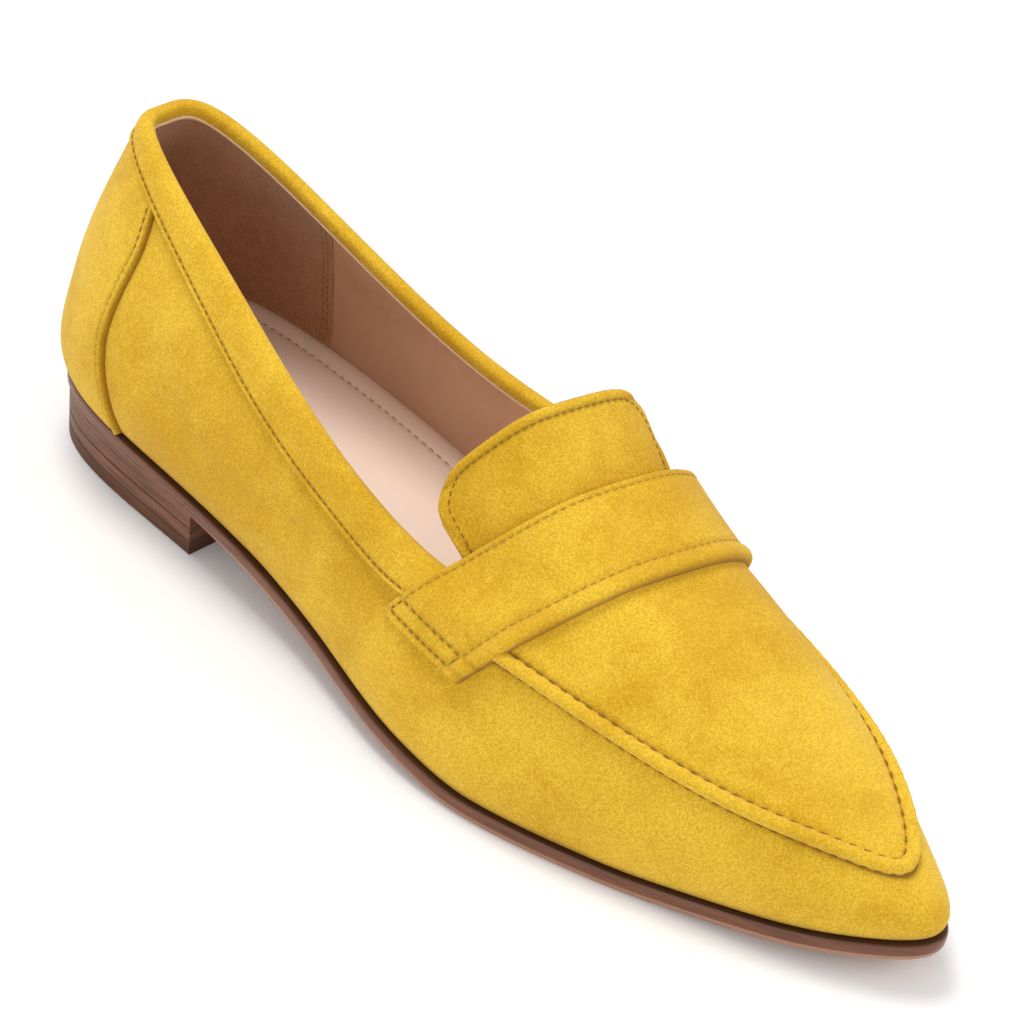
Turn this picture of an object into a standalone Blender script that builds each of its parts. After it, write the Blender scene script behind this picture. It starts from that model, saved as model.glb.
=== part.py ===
"""Right loafer with a saddle strap, a raised apron seam and a low stacked heel.

Metres, +Z up, toe towards +X, outer side of the foot towards -Y. It stands on its sole at z = 0,
with the middle of its box over the origin. All leather pieces are laid on one wall surface, which
is worked out from three lines round the last: the feather line at the sole, the swell where the
wall is fullest (the apron seam over the toes), and the topline.
"""

import bpy
import numpy as np

MM = 0.001

# Last
LAST_LENGTH = 258 * MM
BALL_WIDTH = 82 * MM
BACK_HEIGHT = 82.8 * MM
INSTEP_HEIGHT = 62.8 * MM
FEATHER_FLARE = 4.2 * MM
FEATHER_LIFT = 0.36
TOPLINE_LEAN = 0.4 * MM
TOE_TURN = 1.5 * MM

# Sole and heel
OUTSOLE_THICKNESS = 4.5 * MM
OUTSOLE_EDGE = 1.7 * MM
OUTSOLE_BEVEL = 0.7 * MM
OUTSOLE_ROUNDING = 0.4 * MM
SEAT_HEIGHT = 19.6 * MM
TOE_SPRING = 7.3 * MM
HEEL_LENGTH = 62 * MM
HEEL_EDGE = 1.2 * MM
HEEL_TAPER = 0.5 * MM
TOP_PIECE_THICKNESS = 4.0 * MM
LIFT_THICKNESS = 3.4 * MM

# Leather
GAP = 0.3 * MM
WALL = 1.8 * MM
RIM_DROP = 1.5 * MM
COUNTER_THICKNESS = 1.1 * MM
COUNTER_REACH = 34 * MM
COUNTER_TOP_REACH = 28 * MM
BAND_WIDTH = 11.5 * MM
BAND_BACK = 4.0 * MM
BAND_WIDEST = 0.45
BAND_THICKNESS = 1.3 * MM
BAND_INSIDE = 3.5 * MM
SEAM_WIDTH = 3.6 * MM
SEAM_HEIGHT = 1.8 * MM
STRAP_THICKNESS = 1.8 * MM
STRAP_REAR = 119.5 * MM
STRAP_WIDTH = 23.3 * MM
STRAP_END_RISE = 25.5 * MM
STRAP_SKEW = 0.218
STRAP_LEAN = 0.56
TONGUE_THICKNESS = 1.6 * MM
TONGUE_LENGTH = 21.5 * MM
TONGUE_ANGLE = np.radians(49)
TONGUE_CORNER = 9 * MM
TONGUE_ROOT = 12 * MM
TONGUE_STEP = 3.5 * MM
TONGUE_OUT = 0.18
TONGUE_IN = 0.70
TONGUE_ARCH = 0.25
INSOLE_HEEL = 6.0 * MM
INSOLE_FORE = 2.8 * MM
INSOLE_DISH = 0.8 * MM
INSOLE_FULL = 0.24
INSOLE_THIN = 0.62

# Grid counts, which show in no size
ROUND = 96
UP = 12
COUNTER_ROWS = 9
COUNTER_COLUMNS = 21
BAND_COLUMNS = 58
SEAM_COLUMNS = 49
STRAP_ROWS = 6
STRAP_COLUMNS = 33
TONGUE_ROWS = 9
TONGUE_COLUMNS = 25
INSOLE_ROUND = 72
OUTSOLE_ROUND = 80
HEEL_SIDE = 15
FINE = 161

# Turns between which the outer side's lines cross the strap
THROAT_SIDE = np.array([0.40, 0.80])
SEAM_SIDE = np.array([0.60, 0.85])
STRAP_SIDE = 0.45

# One row for each section round the last, from the heel back to the toe tip. x columns are shares
# of LAST_LENGTH, out and in columns of half the BALL_WIDTH on the outer and the inner side of the
# foot, swell_up and rise_in of INSTEP_HEIGHT. The topline's height is a share of BACK_HEIGHT plus
# a share of INSTEP_HEIGHT. On the inner side it lies rise_in higher and ahead_in further ahead. turn is the section's place on the round, 0 at the back and 1 at the tip.
COLUMNS = (
    "turn",
    "feather_x", "feather_out", "feather_in",
    "swell_x", "swell_out", "swell_in", "swell_up",
    "top_x", "top_out", "top_in", "top_back", "top_instep", "rise_in", "ahead_in",
)
SECTIONS = (
    (0.00, 0.000, 0.000, 0.000, -0.020, 0.000, 0.000, 0.390, 0.034, 0.000, 0.000, 1.000, 0.000, 0.000, 0.000),
    (0.10, 0.024, 0.500, 0.480, 0.028, 0.525, 0.520, 0.366, 0.049, 0.200, 0.250, 0.990, 0.000, 0.000, 0.000),
    (0.26, 0.190, 0.725, 0.712, 0.168, 0.775, 0.767, 0.368, 0.200, 0.435, 0.445, 0.826, 0.000, 0.000, 0.000),
    (0.47, 0.420, 0.855, 0.782, 0.410, 0.813, 0.805, 0.377, 0.400, 0.660, 0.630, 0.291, 0.428, 0.000, 0.000),
    (0.69, 0.648, 0.985, 1.003, 0.610, 0.796, 0.755, 0.527, 0.575, 0.645, 0.670, 0.000, 0.722, 0.108, 0.012),
    (0.85, 0.860, 0.550, 0.596, 0.822, 0.527, 0.561, 0.390, 0.602, 0.378, 0.440, 0.000, 0.910, 0.015, 0.020),
    (0.95, 0.957, 0.255, 0.295, 0.928, 0.215, 0.237, 0.272, 0.619, 0.171, 0.195, 0.000, 0.959, 0.002, 0.008),
    (1.00, 1.000, 0.000, 0.000, 0.960, 0.000, 0.000, 0.203, 0.623, 0.000, 0.000, 0.000, 0.965, 0.000, 0.000),
)
TABLE = dict(zip(COLUMNS, np.array(SECTIONS).T))

# Side profile of the sole: share of LAST_LENGTH, share of the seat's rise, share of TOE_SPRING.
# It is level under the ball, where the forefoot stands on the floor.
PROFILE = np.array((
    (0.000, 1.000, 0.00),
    (0.155, 0.868, 0.00),
    (0.290, 0.715, 0.00),
    (0.426, 0.430, 0.00),
    (0.560, 0.150, 0.00),
    (0.640, 0.000, 0.00),
    (0.760, 0.000, 0.00),
    (0.830, 0.000, 0.15),
    (0.930, 0.000, 0.57),
    (1.000, 0.000, 1.00),
))

PIECES = bpy.data.collections.new("loafer")


def length(vectors):
    return np.linalg.norm(vectors, axis=-1, keepdims=True)


def through(knots, values, slopes, at):
    """Value and slope at each place of the cubic through the knots with the given slopes."""
    k = np.clip(np.searchsorted(knots, at, side="right") - 1, 0, len(knots) - 2)
    step = knots[k + 1] - knots[k]
    w = (at - knots[k]) / step
    if values.ndim > 1:
        step = step[..., None]
        w = w[..., None]
    value = (
        values[k] * (1 + 2 * w) * (1 - w) ** 2
        + values[k + 1] * w * w * (3 - 2 * w)
        + slopes[k] * step * w * (1 - w) ** 2
        - slopes[k + 1] * step * w * w * (1 - w)
    )
    slope = (
        6 * w * (1 - w) * (values[k + 1] - values[k]) / step
        + slopes[k] * (1 - w) * (1 - 3 * w)
        + slopes[k + 1] * w * (3 * w - 2)
    )
    return value, slope


def level_slopes(knots, values):
    """Slopes that keep level runs level and never overshoot a knot."""
    rate = np.diff(values) / np.diff(knots)
    before = rate[:-1]
    after = rate[1:]
    same_way = before * after > 0
    total = np.where(same_way, before + after, 1)
    return np.concatenate([rate[:1], np.where(same_way, 2 * before * after / total, 0), rate[-1:]])


def closed_slopes(knots, values):
    """Slopes of the smooth closed curve whose last knot repeats the first one."""
    step = np.diff(knots)
    rate = np.diff(values, axis=0) / step[:, None]
    last = np.roll(step, 1)
    count = len(step)
    k = np.arange(count)
    weights = np.zeros((count, count))
    weights[k, k - 1] += step
    weights[k, k] += 2 * (step + last)
    weights[k, (k + 1) % count] += last
    sides = 3 * (step[:, None] * np.roll(rate, 1, axis=0) + last[:, None] * rate)
    slopes = np.linalg.solve(weights, sides)
    return np.vstack([slopes, slopes[:1]])


PROFILE_X = PROFILE[:, 0] * LAST_LENGTH
PROFILE_Z = (
    OUTSOLE_THICKNESS
    + PROFILE[:, 1] * (SEAT_HEIGHT - OUTSOLE_THICKNESS)
    + PROFILE[:, 2] * TOE_SPRING
)
PROFILE_SLOPES = level_slopes(PROFILE_X, PROFILE_Z)


def sole_height(x):
    """Height of the feather line, where upper and sole meet, over the floor."""
    return through(PROFILE_X, PROFILE_Z, PROFILE_SLOPES, np.clip(x, 0, LAST_LENGTH))[0]


TURNS = np.concatenate([TABLE["turn"], 2 - TABLE["turn"][-2::-1]])


def line_round(x, outer, inner, z, tip_y=0.0, inner_rise=0.0, inner_ahead=0.0):
    """Closed line through the sections: down the outer side to the tip and back on the inner."""
    out_side = np.column_stack([x, -outer * BALL_WIDTH / 2, z])
    in_side = np.column_stack([x + inner_ahead, inner * BALL_WIDTH / 2, z + inner_rise])
    out_side[-1, 1] = tip_y
    points = np.vstack([out_side, in_side[-2::-1]])
    return points, closed_slopes(TURNS, points)


FEATHER_X = TABLE["feather_x"] * LAST_LENGTH
FEATHER = line_round(
    FEATHER_X, TABLE["feather_out"], TABLE["feather_in"], sole_height(FEATHER_X), tip_y=TOE_TURN
)
SWELL = line_round(
    TABLE["swell_x"] * LAST_LENGTH,
    TABLE["swell_out"],
    TABLE["swell_in"],
    sole_height(FEATHER_X) + TABLE["swell_up"] * INSTEP_HEIGHT,
)
TOPLINE = line_round(
    TABLE["top_x"] * LAST_LENGTH,
    TABLE["top_out"],
    TABLE["top_in"],
    TABLE["top_back"] * BACK_HEIGHT + TABLE["top_instep"] * INSTEP_HEIGHT,
    inner_rise=TABLE["rise_in"] * INSTEP_HEIGHT,
    inner_ahead=TABLE["ahead_in"] * LAST_LENGTH,
)


def on_line(line, turn):
    return through(TURNS, line[0], line[1], np.mod(turn, 2.0))


def feather_at(turn):
    """Points of the feather line, at the sole's exact height."""
    points = on_line(FEATHER, turn)[0]
    points[..., 2] = sole_height(points[..., 0])
    return points


def outward(turn):
    """Level direction that points away from the feather line."""
    slope = on_line(FEATHER, turn)[1]
    side = np.stack([slope[..., 1], -slope[..., 0], 0 * slope[..., 0]], -1)
    return side / length(side)


def cubic(a, b, c, d, w):
    return (1 - w) ** 3 * a + 3 * (1 - w) ** 2 * w * b + 3 * (1 - w) * w * w * c + w**3 * d


def wall(turn, up):
    """Outer face of the upper: up is 0 at the feather, 0.5 at the swell, 1 at the topline.

    Each rib is one cubic from feather to swell and one from swell to topline. Past the topline
    the rib runs on straight, for the strap and the tongue, which reach beyond the throat.
    """
    turn, up = np.broadcast_arrays(np.asarray(turn, float), np.asarray(up, float))
    feather = feather_at(turn)
    swell = on_line(SWELL, turn)[0]
    top = on_line(TOPLINE, turn)[0]
    side = outward(turn)
    low_rise = length(swell - feather)
    along = (top - feather) / length(top - feather)
    foot = feather + side * FEATHER_FLARE + np.array([0, 0, FEATHER_LIFT]) * low_rise
    below = swell - along * low_rise / 3
    above = swell + along * length(top - swell) / 3
    under = top - (top - swell) / 3 + side * TOPLINE_LEAN
    lower = cubic(feather, foot, below, swell, np.clip(2 * up, 0, 1)[..., None])
    upper = cubic(swell, above, under, top, np.clip(2 * up - 1, 0, 1)[..., None])
    beyond = 3 * (top - under) * np.maximum(2 * up - 2, 0)[..., None]
    return np.where((up <= 0.5)[..., None], lower, upper + beyond)


def wall_normal(turn, up, step=1e-4):
    across = wall(turn + step, up) - wall(turn - step, up)
    rising = wall(turn, up + step) - wall(turn, up - step)
    normal = np.cross(across, rising)
    return normal / length(normal)


def lay(turn, up, lift):
    """Points that lie lift outside the wall's outer face."""
    turn, up = np.broadcast_arrays(np.asarray(turn, float), np.asarray(up, float))
    lift = np.broadcast_to(lift, turn.shape)
    return wall(turn, up) + wall_normal(turn, up) * lift[..., None]


def up_at(turn, run):
    """up of the points that lie run past the topline along their rib, with run below 0 on the wall."""
    turn, run = np.broadcast_arrays(np.asarray(turn, float), np.asarray(run, float))
    ups = np.linspace(0, 2, FINE)
    ribs = wall(turn.reshape(-1, 1), ups[None])
    steps = length(np.diff(ribs, axis=1))[..., 0]
    runs = np.cumsum(np.pad(steps, ((0, 0), (1, 0))), axis=1)
    runs -= runs[:, ups == 1]
    found = [np.interp(r, rib, ups) for r, rib in zip(run.ravel(), runs)]
    return np.array(found).reshape(turn.shape)


def up_at_rise(turns, rise):
    """up of the points on the wall that lie rise above the feather line."""
    ups = np.linspace(0, 0.5, FINE)
    ribs = wall(turns[:, None], ups[None])[..., 2]
    return np.array([np.interp(rise, rib - rib[0], ups) for rib in ribs])


def inside_at(turns, height):
    """Points at these heights that lie just inside the upper's wall."""
    ribs = lay(turns[:, None], np.linspace(0, 0.5, FINE)[None], -WALL - 2 * GAP)
    found = [
        [np.interp(z, rib[:, 2], rib[:, 0]), np.interp(z, rib[:, 2], rib[:, 1]), z]
        for z, rib in zip(height, ribs)
    ]
    return np.array(found)


def strap_place(points):
    """How far forward points lie, measured square to the strap's edges."""
    measure = points[..., 0] - STRAP_SKEW * points[..., 1] - STRAP_LEAN * points[..., 2]
    return measure


STRAP_FRONT = STRAP_REAR + STRAP_WIDTH * np.sqrt(1 + STRAP_SKEW**2 + STRAP_LEAN**2)


def turn_at_strap(place, run, low, high):
    """Turn between low and high where the line at this run meets the strap's edge at place."""
    turns = np.linspace(low, high, FINE)
    places = strap_place(wall(turns, up_at(turns, run)))
    order = np.argsort(places)
    return np.interp(place, places[order], turns[order])


def grid_faces(rows, columns, ring=False):
    """Quads of a grid of points stored row by row, closed round its columns if ring is set."""
    row = np.arange(rows - 1)[:, None] * columns
    column = np.arange(columns if ring else columns - 1)[None]
    after = (column + 1) % columns
    corners = (row + column, row + after, row + columns + after, row + columns + column)
    return np.stack(corners, -1).reshape(-1, 4).tolist()


def material(name, colour, roughness):
    made = bpy.data.materials.new(name)
    made.use_nodes = True
    shader = made.node_tree.nodes["Principled BSDF"]
    shader.inputs["Base Color"].default_value = (*colour, 1)
    shader.inputs["Roughness"].default_value = roughness
    shader.inputs["Metallic"].default_value = 0
    return made


SUEDE = {"colour": (0.78, 0.42, 0.02), "roughness": 0.92}
SOLE_LEATHER = {"colour": (0.16, 0.065, 0.03), "roughness": 0.45}


def piece(name, points, faces, colour, roughness):
    mesh = bpy.data.meshes.new(name)
    mesh.from_pydata(points.reshape(-1, 3).tolist(), [], faces)
    mesh.materials.append(material(name, colour, roughness))
    mesh.shade_smooth()
    mesh.set_sharp_from_angle(angle=np.radians(40))
    made = bpy.data.objects.new(name, mesh)
    PIECES.objects.link(made)
    return made


def sheet(name, points, thickness, outside, ring=False, finish=SUEDE):
    """Leather of this thickness on a grid of points, grown to the outside or to the inside."""
    rows, columns = points.shape[:2]
    made = piece(name, points, grid_faces(rows, columns, ring), **finish)
    solid = made.modifiers.new("leather", "SOLIDIFY")
    solid.thickness = thickness
    solid.offset = 1 if outside else -1
    solid.use_even_offset = True
    return made


def plate(name, rings, colour, roughness):
    """Closed plate: rings from its underside to its top, with ladders of quads across both ends."""
    count = len(rings[0])
    levels = len(rings)
    half = (count - 1) // 2
    near = np.arange(1, half + 1)
    far = count - near
    rungs = np.stack([near[:-1], near[1:], far[1:], far[:-1]], -1).tolist()
    rungs.append([0, 1, count - 1])
    if count % 2 == 0:
        rungs.append([half, half + 1, half + 2])
    top = (levels - 1) * count
    faces = grid_faces(levels, count, ring=True)
    faces += [[corner + top for corner in rung] for rung in rungs]
    faces += [rung[::-1] for rung in rungs]
    return piece(name, np.array(rings), faces, colour, roughness)


def make_upper():
    turns = np.linspace(0, 2, ROUND, endpoint=False)[None]
    share = np.linspace(0, 1, UP)[:, None]
    highest = up_at(turns, -RIM_DROP)
    return sheet("upper", wall(turns, share * highest), WALL, outside=False, ring=True)


def band_depth(turn):
    """How far the collar band reaches down: least at the back, most beside the instep."""
    from_back = np.minimum(np.mod(turn, 2.0), np.mod(-turn, 2.0))
    grown = np.sin(np.pi / 2 * from_back / BAND_WIDEST) ** 1.5
    return BAND_BACK + (BAND_WIDTH - BAND_BACK) * grown


def make_heel_counter():
    """Back piece over the quarters, from the feather to the collar band."""
    share = np.linspace(0, 1, COUNTER_ROWS)[:, None]
    foot_end = np.interp(COUNTER_REACH / LAST_LENGTH, TABLE["feather_x"], TABLE["turn"])
    top_end = np.interp(COUNTER_TOP_REACH / LAST_LENGTH, TABLE["top_x"], TABLE["turn"])
    end = foot_end + share * (top_end - foot_end)
    turns = end * np.linspace(-1, 1, COUNTER_COLUMNS)[None]
    lowest = up_at_rise(turns[0], COUNTER_THICKNESS)[None]
    highest = up_at(turns, -band_depth(turns) - 2 * GAP)
    ups = lowest + share * (highest - lowest)
    return sheet("heel_counter", lay(turns, ups, GAP), COUNTER_THICKNESS, outside=True)


def make_collar_band():
    """Strip folded over the rim: up the outer face, over the edge and a little way down inside."""
    over = np.radians([0, 45, 90, 135, 180])
    radius = WALL / 2 + GAP
    down = np.array([1, 2 / 3, 1 / 3, 0, 0, 0, 0, 0, 0])
    runs = -RIM_DROP + np.concatenate([[0, 0, 0], radius * np.sin(over), [-BAND_INSIDE]])
    lifts = np.concatenate([[GAP, GAP, GAP], radius * np.cos(over) - WALL / 2, [-WALL - GAP]])
    edge = STRAP_REAR - 2 * GAP
    rows = []
    for part, run, lift in zip(down, runs, lifts):
        lowest = run - part * (BAND_WIDTH - RIM_DROP)
        outer_end = turn_at_strap(edge, lowest, *THROAT_SIDE)
        inner_end = turn_at_strap(edge, lowest, *(2 - THROAT_SIDE))
        turns = np.linspace(inner_end - 2, outer_end, BAND_COLUMNS)
        reach = run - part * (band_depth(turns) - RIM_DROP)
        rows.append(lay(turns, up_at(turns, reach), lift))
    return sheet("collar_band", np.array(rows), BAND_THICKNESS, outside=True)


def make_apron_seam():
    """Raised seam of half round section along the swell, from one side of the strap to the other."""
    edge = STRAP_FRONT + GAP + SEAM_WIDTH / 2
    outer = np.linspace(*SEAM_SIDE, FINE)
    inner = 2 - outer
    outer_end = np.interp(edge, strap_place(wall(outer, 0.5)), outer)
    inner_end = np.interp(edge, strap_place(wall(inner, 0.5)), inner)
    turns = np.linspace(outer_end, inner_end, SEAM_COLUMNS)
    centre = lay(turns, 0.5, GAP)
    normal = wall_normal(turns, np.full_like(turns, 0.5))
    ahead = np.gradient(centre, axis=0)
    beside = np.cross(normal, ahead)
    beside /= length(beside)
    around = np.radians([0, 36, 72, 108, 144, 180])
    section = [
        centre + beside * np.cos(a) * SEAM_WIDTH / 2 + normal * np.sin(a) * SEAM_HEIGHT
        for a in around
    ]
    count = len(around)
    points = np.array(section).transpose(1, 0, 2)
    faces = grid_faces(len(turns), count, ring=True)
    last = (len(turns) - 1) * count
    faces.append(list(range(count))[::-1])
    faces.append(list(range(last, last + count)))
    return piece("apron_seam", points, faces, **SUEDE)


def strap_course(place, count):
    """Turn and up of evenly spaced points along the strap's line at place, from end to end."""
    turns = np.linspace(STRAP_SIDE, 2 - STRAP_SIDE, FINE)
    ups = np.linspace(0, 2, FINE)
    places = strap_place(wall(turns[:, None], ups[None]))
    ups_here = np.array([np.interp(place, row[::-1], ups[::-1]) for row in places])
    points = wall(turns, ups_here)
    rise = points[:, 2] - sole_height(points[:, 0])
    outer = turns < 1
    first = np.interp(STRAP_END_RISE, rise[outer], turns[outer])
    last = np.interp(STRAP_END_RISE, rise[~outer][::-1], turns[~outer][::-1])
    fine = np.linspace(first, last, FINE)
    fine_ups = np.interp(fine, turns, ups_here)
    steps = length(np.diff(wall(fine, fine_ups), axis=0))[:, 0]
    runs = np.concatenate([[0], np.cumsum(steps)])
    even = np.interp(np.linspace(0, runs[-1], count), runs, fine)
    return even, np.interp(even, turns, ups_here)


def make_strap():
    """Saddle strap over the instep, between two leaning planes square to its edges."""
    rows = []
    for place in np.linspace(STRAP_FRONT, STRAP_REAR, STRAP_ROWS):
        turns, ups = strap_course(place, STRAP_COLUMNS)
        rows.append(lay(turns, ups, GAP))
    return sheet("strap", np.array(rows), STRAP_THICKNESS, outside=True)


def make_tongue():
    """Tab sewn under the throat, which steps up to the strap's rear edge and runs on from there.

    Past the strap its rows are the strap's edge line moved back and up along one direction, with
    rounded corners, and its arch grows a little deeper towards the end.
    """
    share = np.linspace(TONGUE_OUT, TONGUE_IN, TONGUE_COLUMNS)
    fine = (STRAP_COLUMNS - 1) * 4 + 1
    course = np.linspace(0, 1, fine)
    rows = []
    for ahead, lift in ((TONGUE_ROOT, -WALL - GAP), (TONGUE_STEP, -WALL - GAP), (0, -GAP)):
        turns, ups = strap_course(STRAP_REAR + ahead, fine)
        row = lay(turns, ups, lift)
        rows.append(np.stack([np.interp(share, course, row[:, axis]) for axis in range(3)], -1))
    edge = rows[-1]
    steps = length(np.diff(edge, axis=0))[:, 0]
    runs = np.concatenate([[0], np.cumsum(steps)])
    from_side = np.minimum(runs, runs[-1] - runs)
    short = np.clip(1 - from_side / TONGUE_CORNER, 0, 1)
    top = TONGUE_LENGTH - TONGUE_CORNER * (1 - np.sqrt(1 - short**2))
    back = np.array([-np.cos(TONGUE_ANGLE), 0, np.sin(TONGUE_ANGLE)])
    rise = edge[:, 2] - edge[TONGUE_COLUMNS // 2, 2]
    for part in np.linspace(0, 1, TONGUE_ROWS)[1:]:
        row = edge + (part * top)[:, None] * back
        row[:, 2] += TONGUE_ARCH * part * rise
        rows.append(row)
    return sheet("tongue", np.array(rows), TONGUE_THICKNESS, outside=False)


def make_insole():
    """Footbed inside the wall, thicker under the heel, with a shallow dish."""
    turns = np.linspace(0, 2, INSOLE_ROUND, endpoint=False)
    x = wall(turns, 0)[:, 0]
    w = np.clip((INSOLE_THIN - x / LAST_LENGTH) / (INSOLE_THIN - INSOLE_FULL), 0, 1)
    thick = INSOLE_FORE + (INSOLE_HEEL - INSOLE_FORE) * w * w * (3 - 2 * w)
    seat = sole_height(x) + GAP
    rings = [inside_at(turns, seat + share * thick) for share in (0.0, 0.5, 1.0)]
    partner = -np.arange(len(turns))
    middle = (rings[-1] + rings[-1][partner]) / 2
    for share in (0.75, 0.4):
        ring = middle + share * (rings[-1] - middle)
        ring[:, 2] -= INSOLE_DISH * (1 - share**2)
        rings.append(ring)
    return plate("insole", rings, colour=(0.86, 0.62, 0.46), roughness=0.5)


def make_outsole():
    """Leather sole whose edge stands past the feather and is bevelled below."""
    turns = np.linspace(0, 2, OUTSOLE_ROUND, endpoint=False)
    feather = feather_at(turns)
    side = outward(turns)
    body = OUTSOLE_THICKNESS - GAP
    rings = []
    for edge, share in ((-OUTSOLE_BEVEL, 0), (0, 0.33), (0, 0.9), (-OUTSOLE_ROUNDING, 1)):
        ring = feather + side * (OUTSOLE_EDGE + edge)
        ring[:, 2] = feather[:, 2] - OUTSOLE_THICKNESS + share * body
        rings.append(ring)
    return plate("outsole", rings, **SOLE_LEATHER)


def heel_ring(edge, height):
    """Outline of the heel at this distance outside the feather, closed by the straight breast."""
    turns = np.linspace(0, 0.5, FINE)
    end_out = np.interp(HEEL_LENGTH, feather_at(turns)[:, 0], turns)
    end_in = np.interp(HEEL_LENGTH, feather_at(2 - turns)[:, 0], turns)
    share = np.linspace(0, 1, HEEL_SIDE)
    turns = np.concatenate([share * end_out, 2 - end_in * share[:0:-1]])
    ring = feather_at(turns) + outward(turns) * edge
    ring[:, 0] = np.minimum(ring[:, 0], HEEL_LENGTH)
    ring[:, 2] = height(ring[:, 0])
    return ring


def make_heel_layer(name, low, high, colour, roughness):
    """Layer of the heel between the heights low and high, which are functions of x.

    The heel's side leans in by HEEL_TAPER from the seat down to the floor.
    """
    rings = []
    for height in (low, high):
        middle = height(HEEL_LENGTH / 2)
        edge = HEEL_EDGE - HEEL_TAPER * (1 - middle / SEAT_HEIGHT)
        rings.append(heel_ring(edge, height))
    return plate(name, rings, colour, roughness)


def make_heel():
    def flat(height):
        return lambda x: 0 * x + height

    lift_base = TOP_PIECE_THICKNESS + GAP
    wedge_base = lift_base + LIFT_THICKNESS + GAP
    make_heel_layer("heel_top_piece", flat(0), flat(TOP_PIECE_THICKNESS), (0.1, 0.045, 0.025), 0.5)
    make_heel_layer("heel_lift_lower", flat(lift_base), flat(lift_base + LIFT_THICKNESS), **SOLE_LEATHER)
    make_heel_layer(
        "heel_lift_upper",
        flat(wedge_base),
        lambda x: sole_height(x) - OUTSOLE_THICKNESS - GAP,
        **SOLE_LEATHER,
    )


def stand_on_origin():
    """Parents every piece to an empty placed so that the shoe's box stands centred on the origin."""
    bpy.context.view_layer.update()
    graph = bpy.context.evaluated_depsgraph_get()
    corners = np.array([
        corner for made in PIECES.objects for corner in made.evaluated_get(graph).bound_box
    ])
    low = corners.min(axis=0)
    high = corners.max(axis=0)
    base = bpy.data.objects.new("loafer_base", None)
    base.location = (-(low[0] + high[0]) / 2, -(low[1] + high[1]) / 2, -low[2])
    for made in list(PIECES.objects):
        made.parent = base
    PIECES.objects.link(base)


def main():
    for old in list(bpy.data.objects):
        bpy.data.objects.remove(old)
    bpy.context.scene.collection.children.link(PIECES)
    make_upper()
    make_heel_counter()
    make_collar_band()
    make_apron_seam()
    make_strap()
    make_tongue()
    make_insole()
    make_outsole()
    make_heel()
    stand_on_origin()


main()
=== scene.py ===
"""Looks of the right loafer: mustard suede, beige and brown lining, stacked leather heel.

Every leather piece is laid on the wall of the last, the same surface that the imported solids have.
Lengths are in metres, +X to the toe, -Y to the outer side of the foot, and the floor is z = 0.
"""

import math

import bpy
import numpy as np
from mathutils import Matrix, Vector


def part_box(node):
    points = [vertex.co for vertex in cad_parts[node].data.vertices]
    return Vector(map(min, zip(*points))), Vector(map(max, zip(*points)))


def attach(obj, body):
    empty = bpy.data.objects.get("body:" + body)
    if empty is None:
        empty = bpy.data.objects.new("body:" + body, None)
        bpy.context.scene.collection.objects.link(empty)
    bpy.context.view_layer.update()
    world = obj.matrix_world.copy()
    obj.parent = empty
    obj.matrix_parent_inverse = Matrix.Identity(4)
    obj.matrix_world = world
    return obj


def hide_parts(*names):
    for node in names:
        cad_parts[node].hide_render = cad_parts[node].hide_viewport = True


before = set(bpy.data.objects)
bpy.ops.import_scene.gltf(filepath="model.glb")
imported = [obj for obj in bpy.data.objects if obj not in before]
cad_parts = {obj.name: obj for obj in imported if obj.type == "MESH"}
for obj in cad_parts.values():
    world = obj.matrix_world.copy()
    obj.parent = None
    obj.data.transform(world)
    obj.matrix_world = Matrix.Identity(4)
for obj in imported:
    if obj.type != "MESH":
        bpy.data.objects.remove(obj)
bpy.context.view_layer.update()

bl_info = {
    "name": "Suede loafer",
    "version": (1, 0, 0),
    "blender": (4, 5, 0),
    "location": "3D View > Sidebar > Loafer",
    "description": "Dresses the packed loafer in suede, lining, stitches and stacked leather",
    "category": "Object",
}

MM = 0.001

# Last and leather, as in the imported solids
LAST_LENGTH = 258 * MM
BALL_WIDTH = 82 * MM
BACK_HEIGHT = 82.8 * MM
INSTEP_HEIGHT = 62.8 * MM
FEATHER_FLARE = 4.2 * MM
FEATHER_LIFT = 0.36
TOPLINE_LEAN = 0.4 * MM
TOE_TURN = 1.5 * MM
OUTSOLE_THICKNESS = 4.5 * MM
OUTSOLE_EDGE = 1.7 * MM
SEAT_HEIGHT = 19.6 * MM
TOE_SPRING = 7.3 * MM
HEEL_LENGTH = 62 * MM
HEEL_EDGE = 1.2 * MM
HEEL_TAPER = 0.5 * MM
TOP_PIECE_THICKNESS = 4.0 * MM
LIFT_THICKNESS = 3.4 * MM
GAP = 0.3 * MM
WALL = 1.8 * MM
RIM_DROP = 1.5 * MM
BAND_WIDTH = 10.7 * MM
BAND_BACK = 4.0 * MM
BAND_WIDEST = 0.45
STRAP_REAR = 119.5 * MM
STRAP_WIDTH = 23.3 * MM
STRAP_END_RISE = 22.9 * MM
STRAP_SKEW = 0.218
STRAP_LEAN = 0.56
STRAP_SIDE = 0.45
STRAP_FRONT = STRAP_REAR + STRAP_WIDTH * math.sqrt(1 + STRAP_SKEW**2 + STRAP_LEAN**2)
TONGUE_LENGTH = 20.4 * MM
TONGUE_ANGLE = math.radians(49)
TONGUE_CORNER = 9 * MM
TONGUE_ROOT = 12 * MM
TONGUE_STEP = 3.5 * MM
TONGUE_OUT = 0.192
TONGUE_IN = 0.685
TONGUE_ARCH = 0.25
INSOLE_HEEL = 6.0 * MM
INSOLE_FORE = 2.8 * MM
INSOLE_DISH = 0.8 * MM
INSOLE_FULL = 0.24
INSOLE_THIN = 0.62
THROAT_SIDE = (0.40, 0.80)
SEAM_SIDE = (0.60, 0.85)

# Points in which a rib, an edge or a course is searched
FINE = 161

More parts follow.
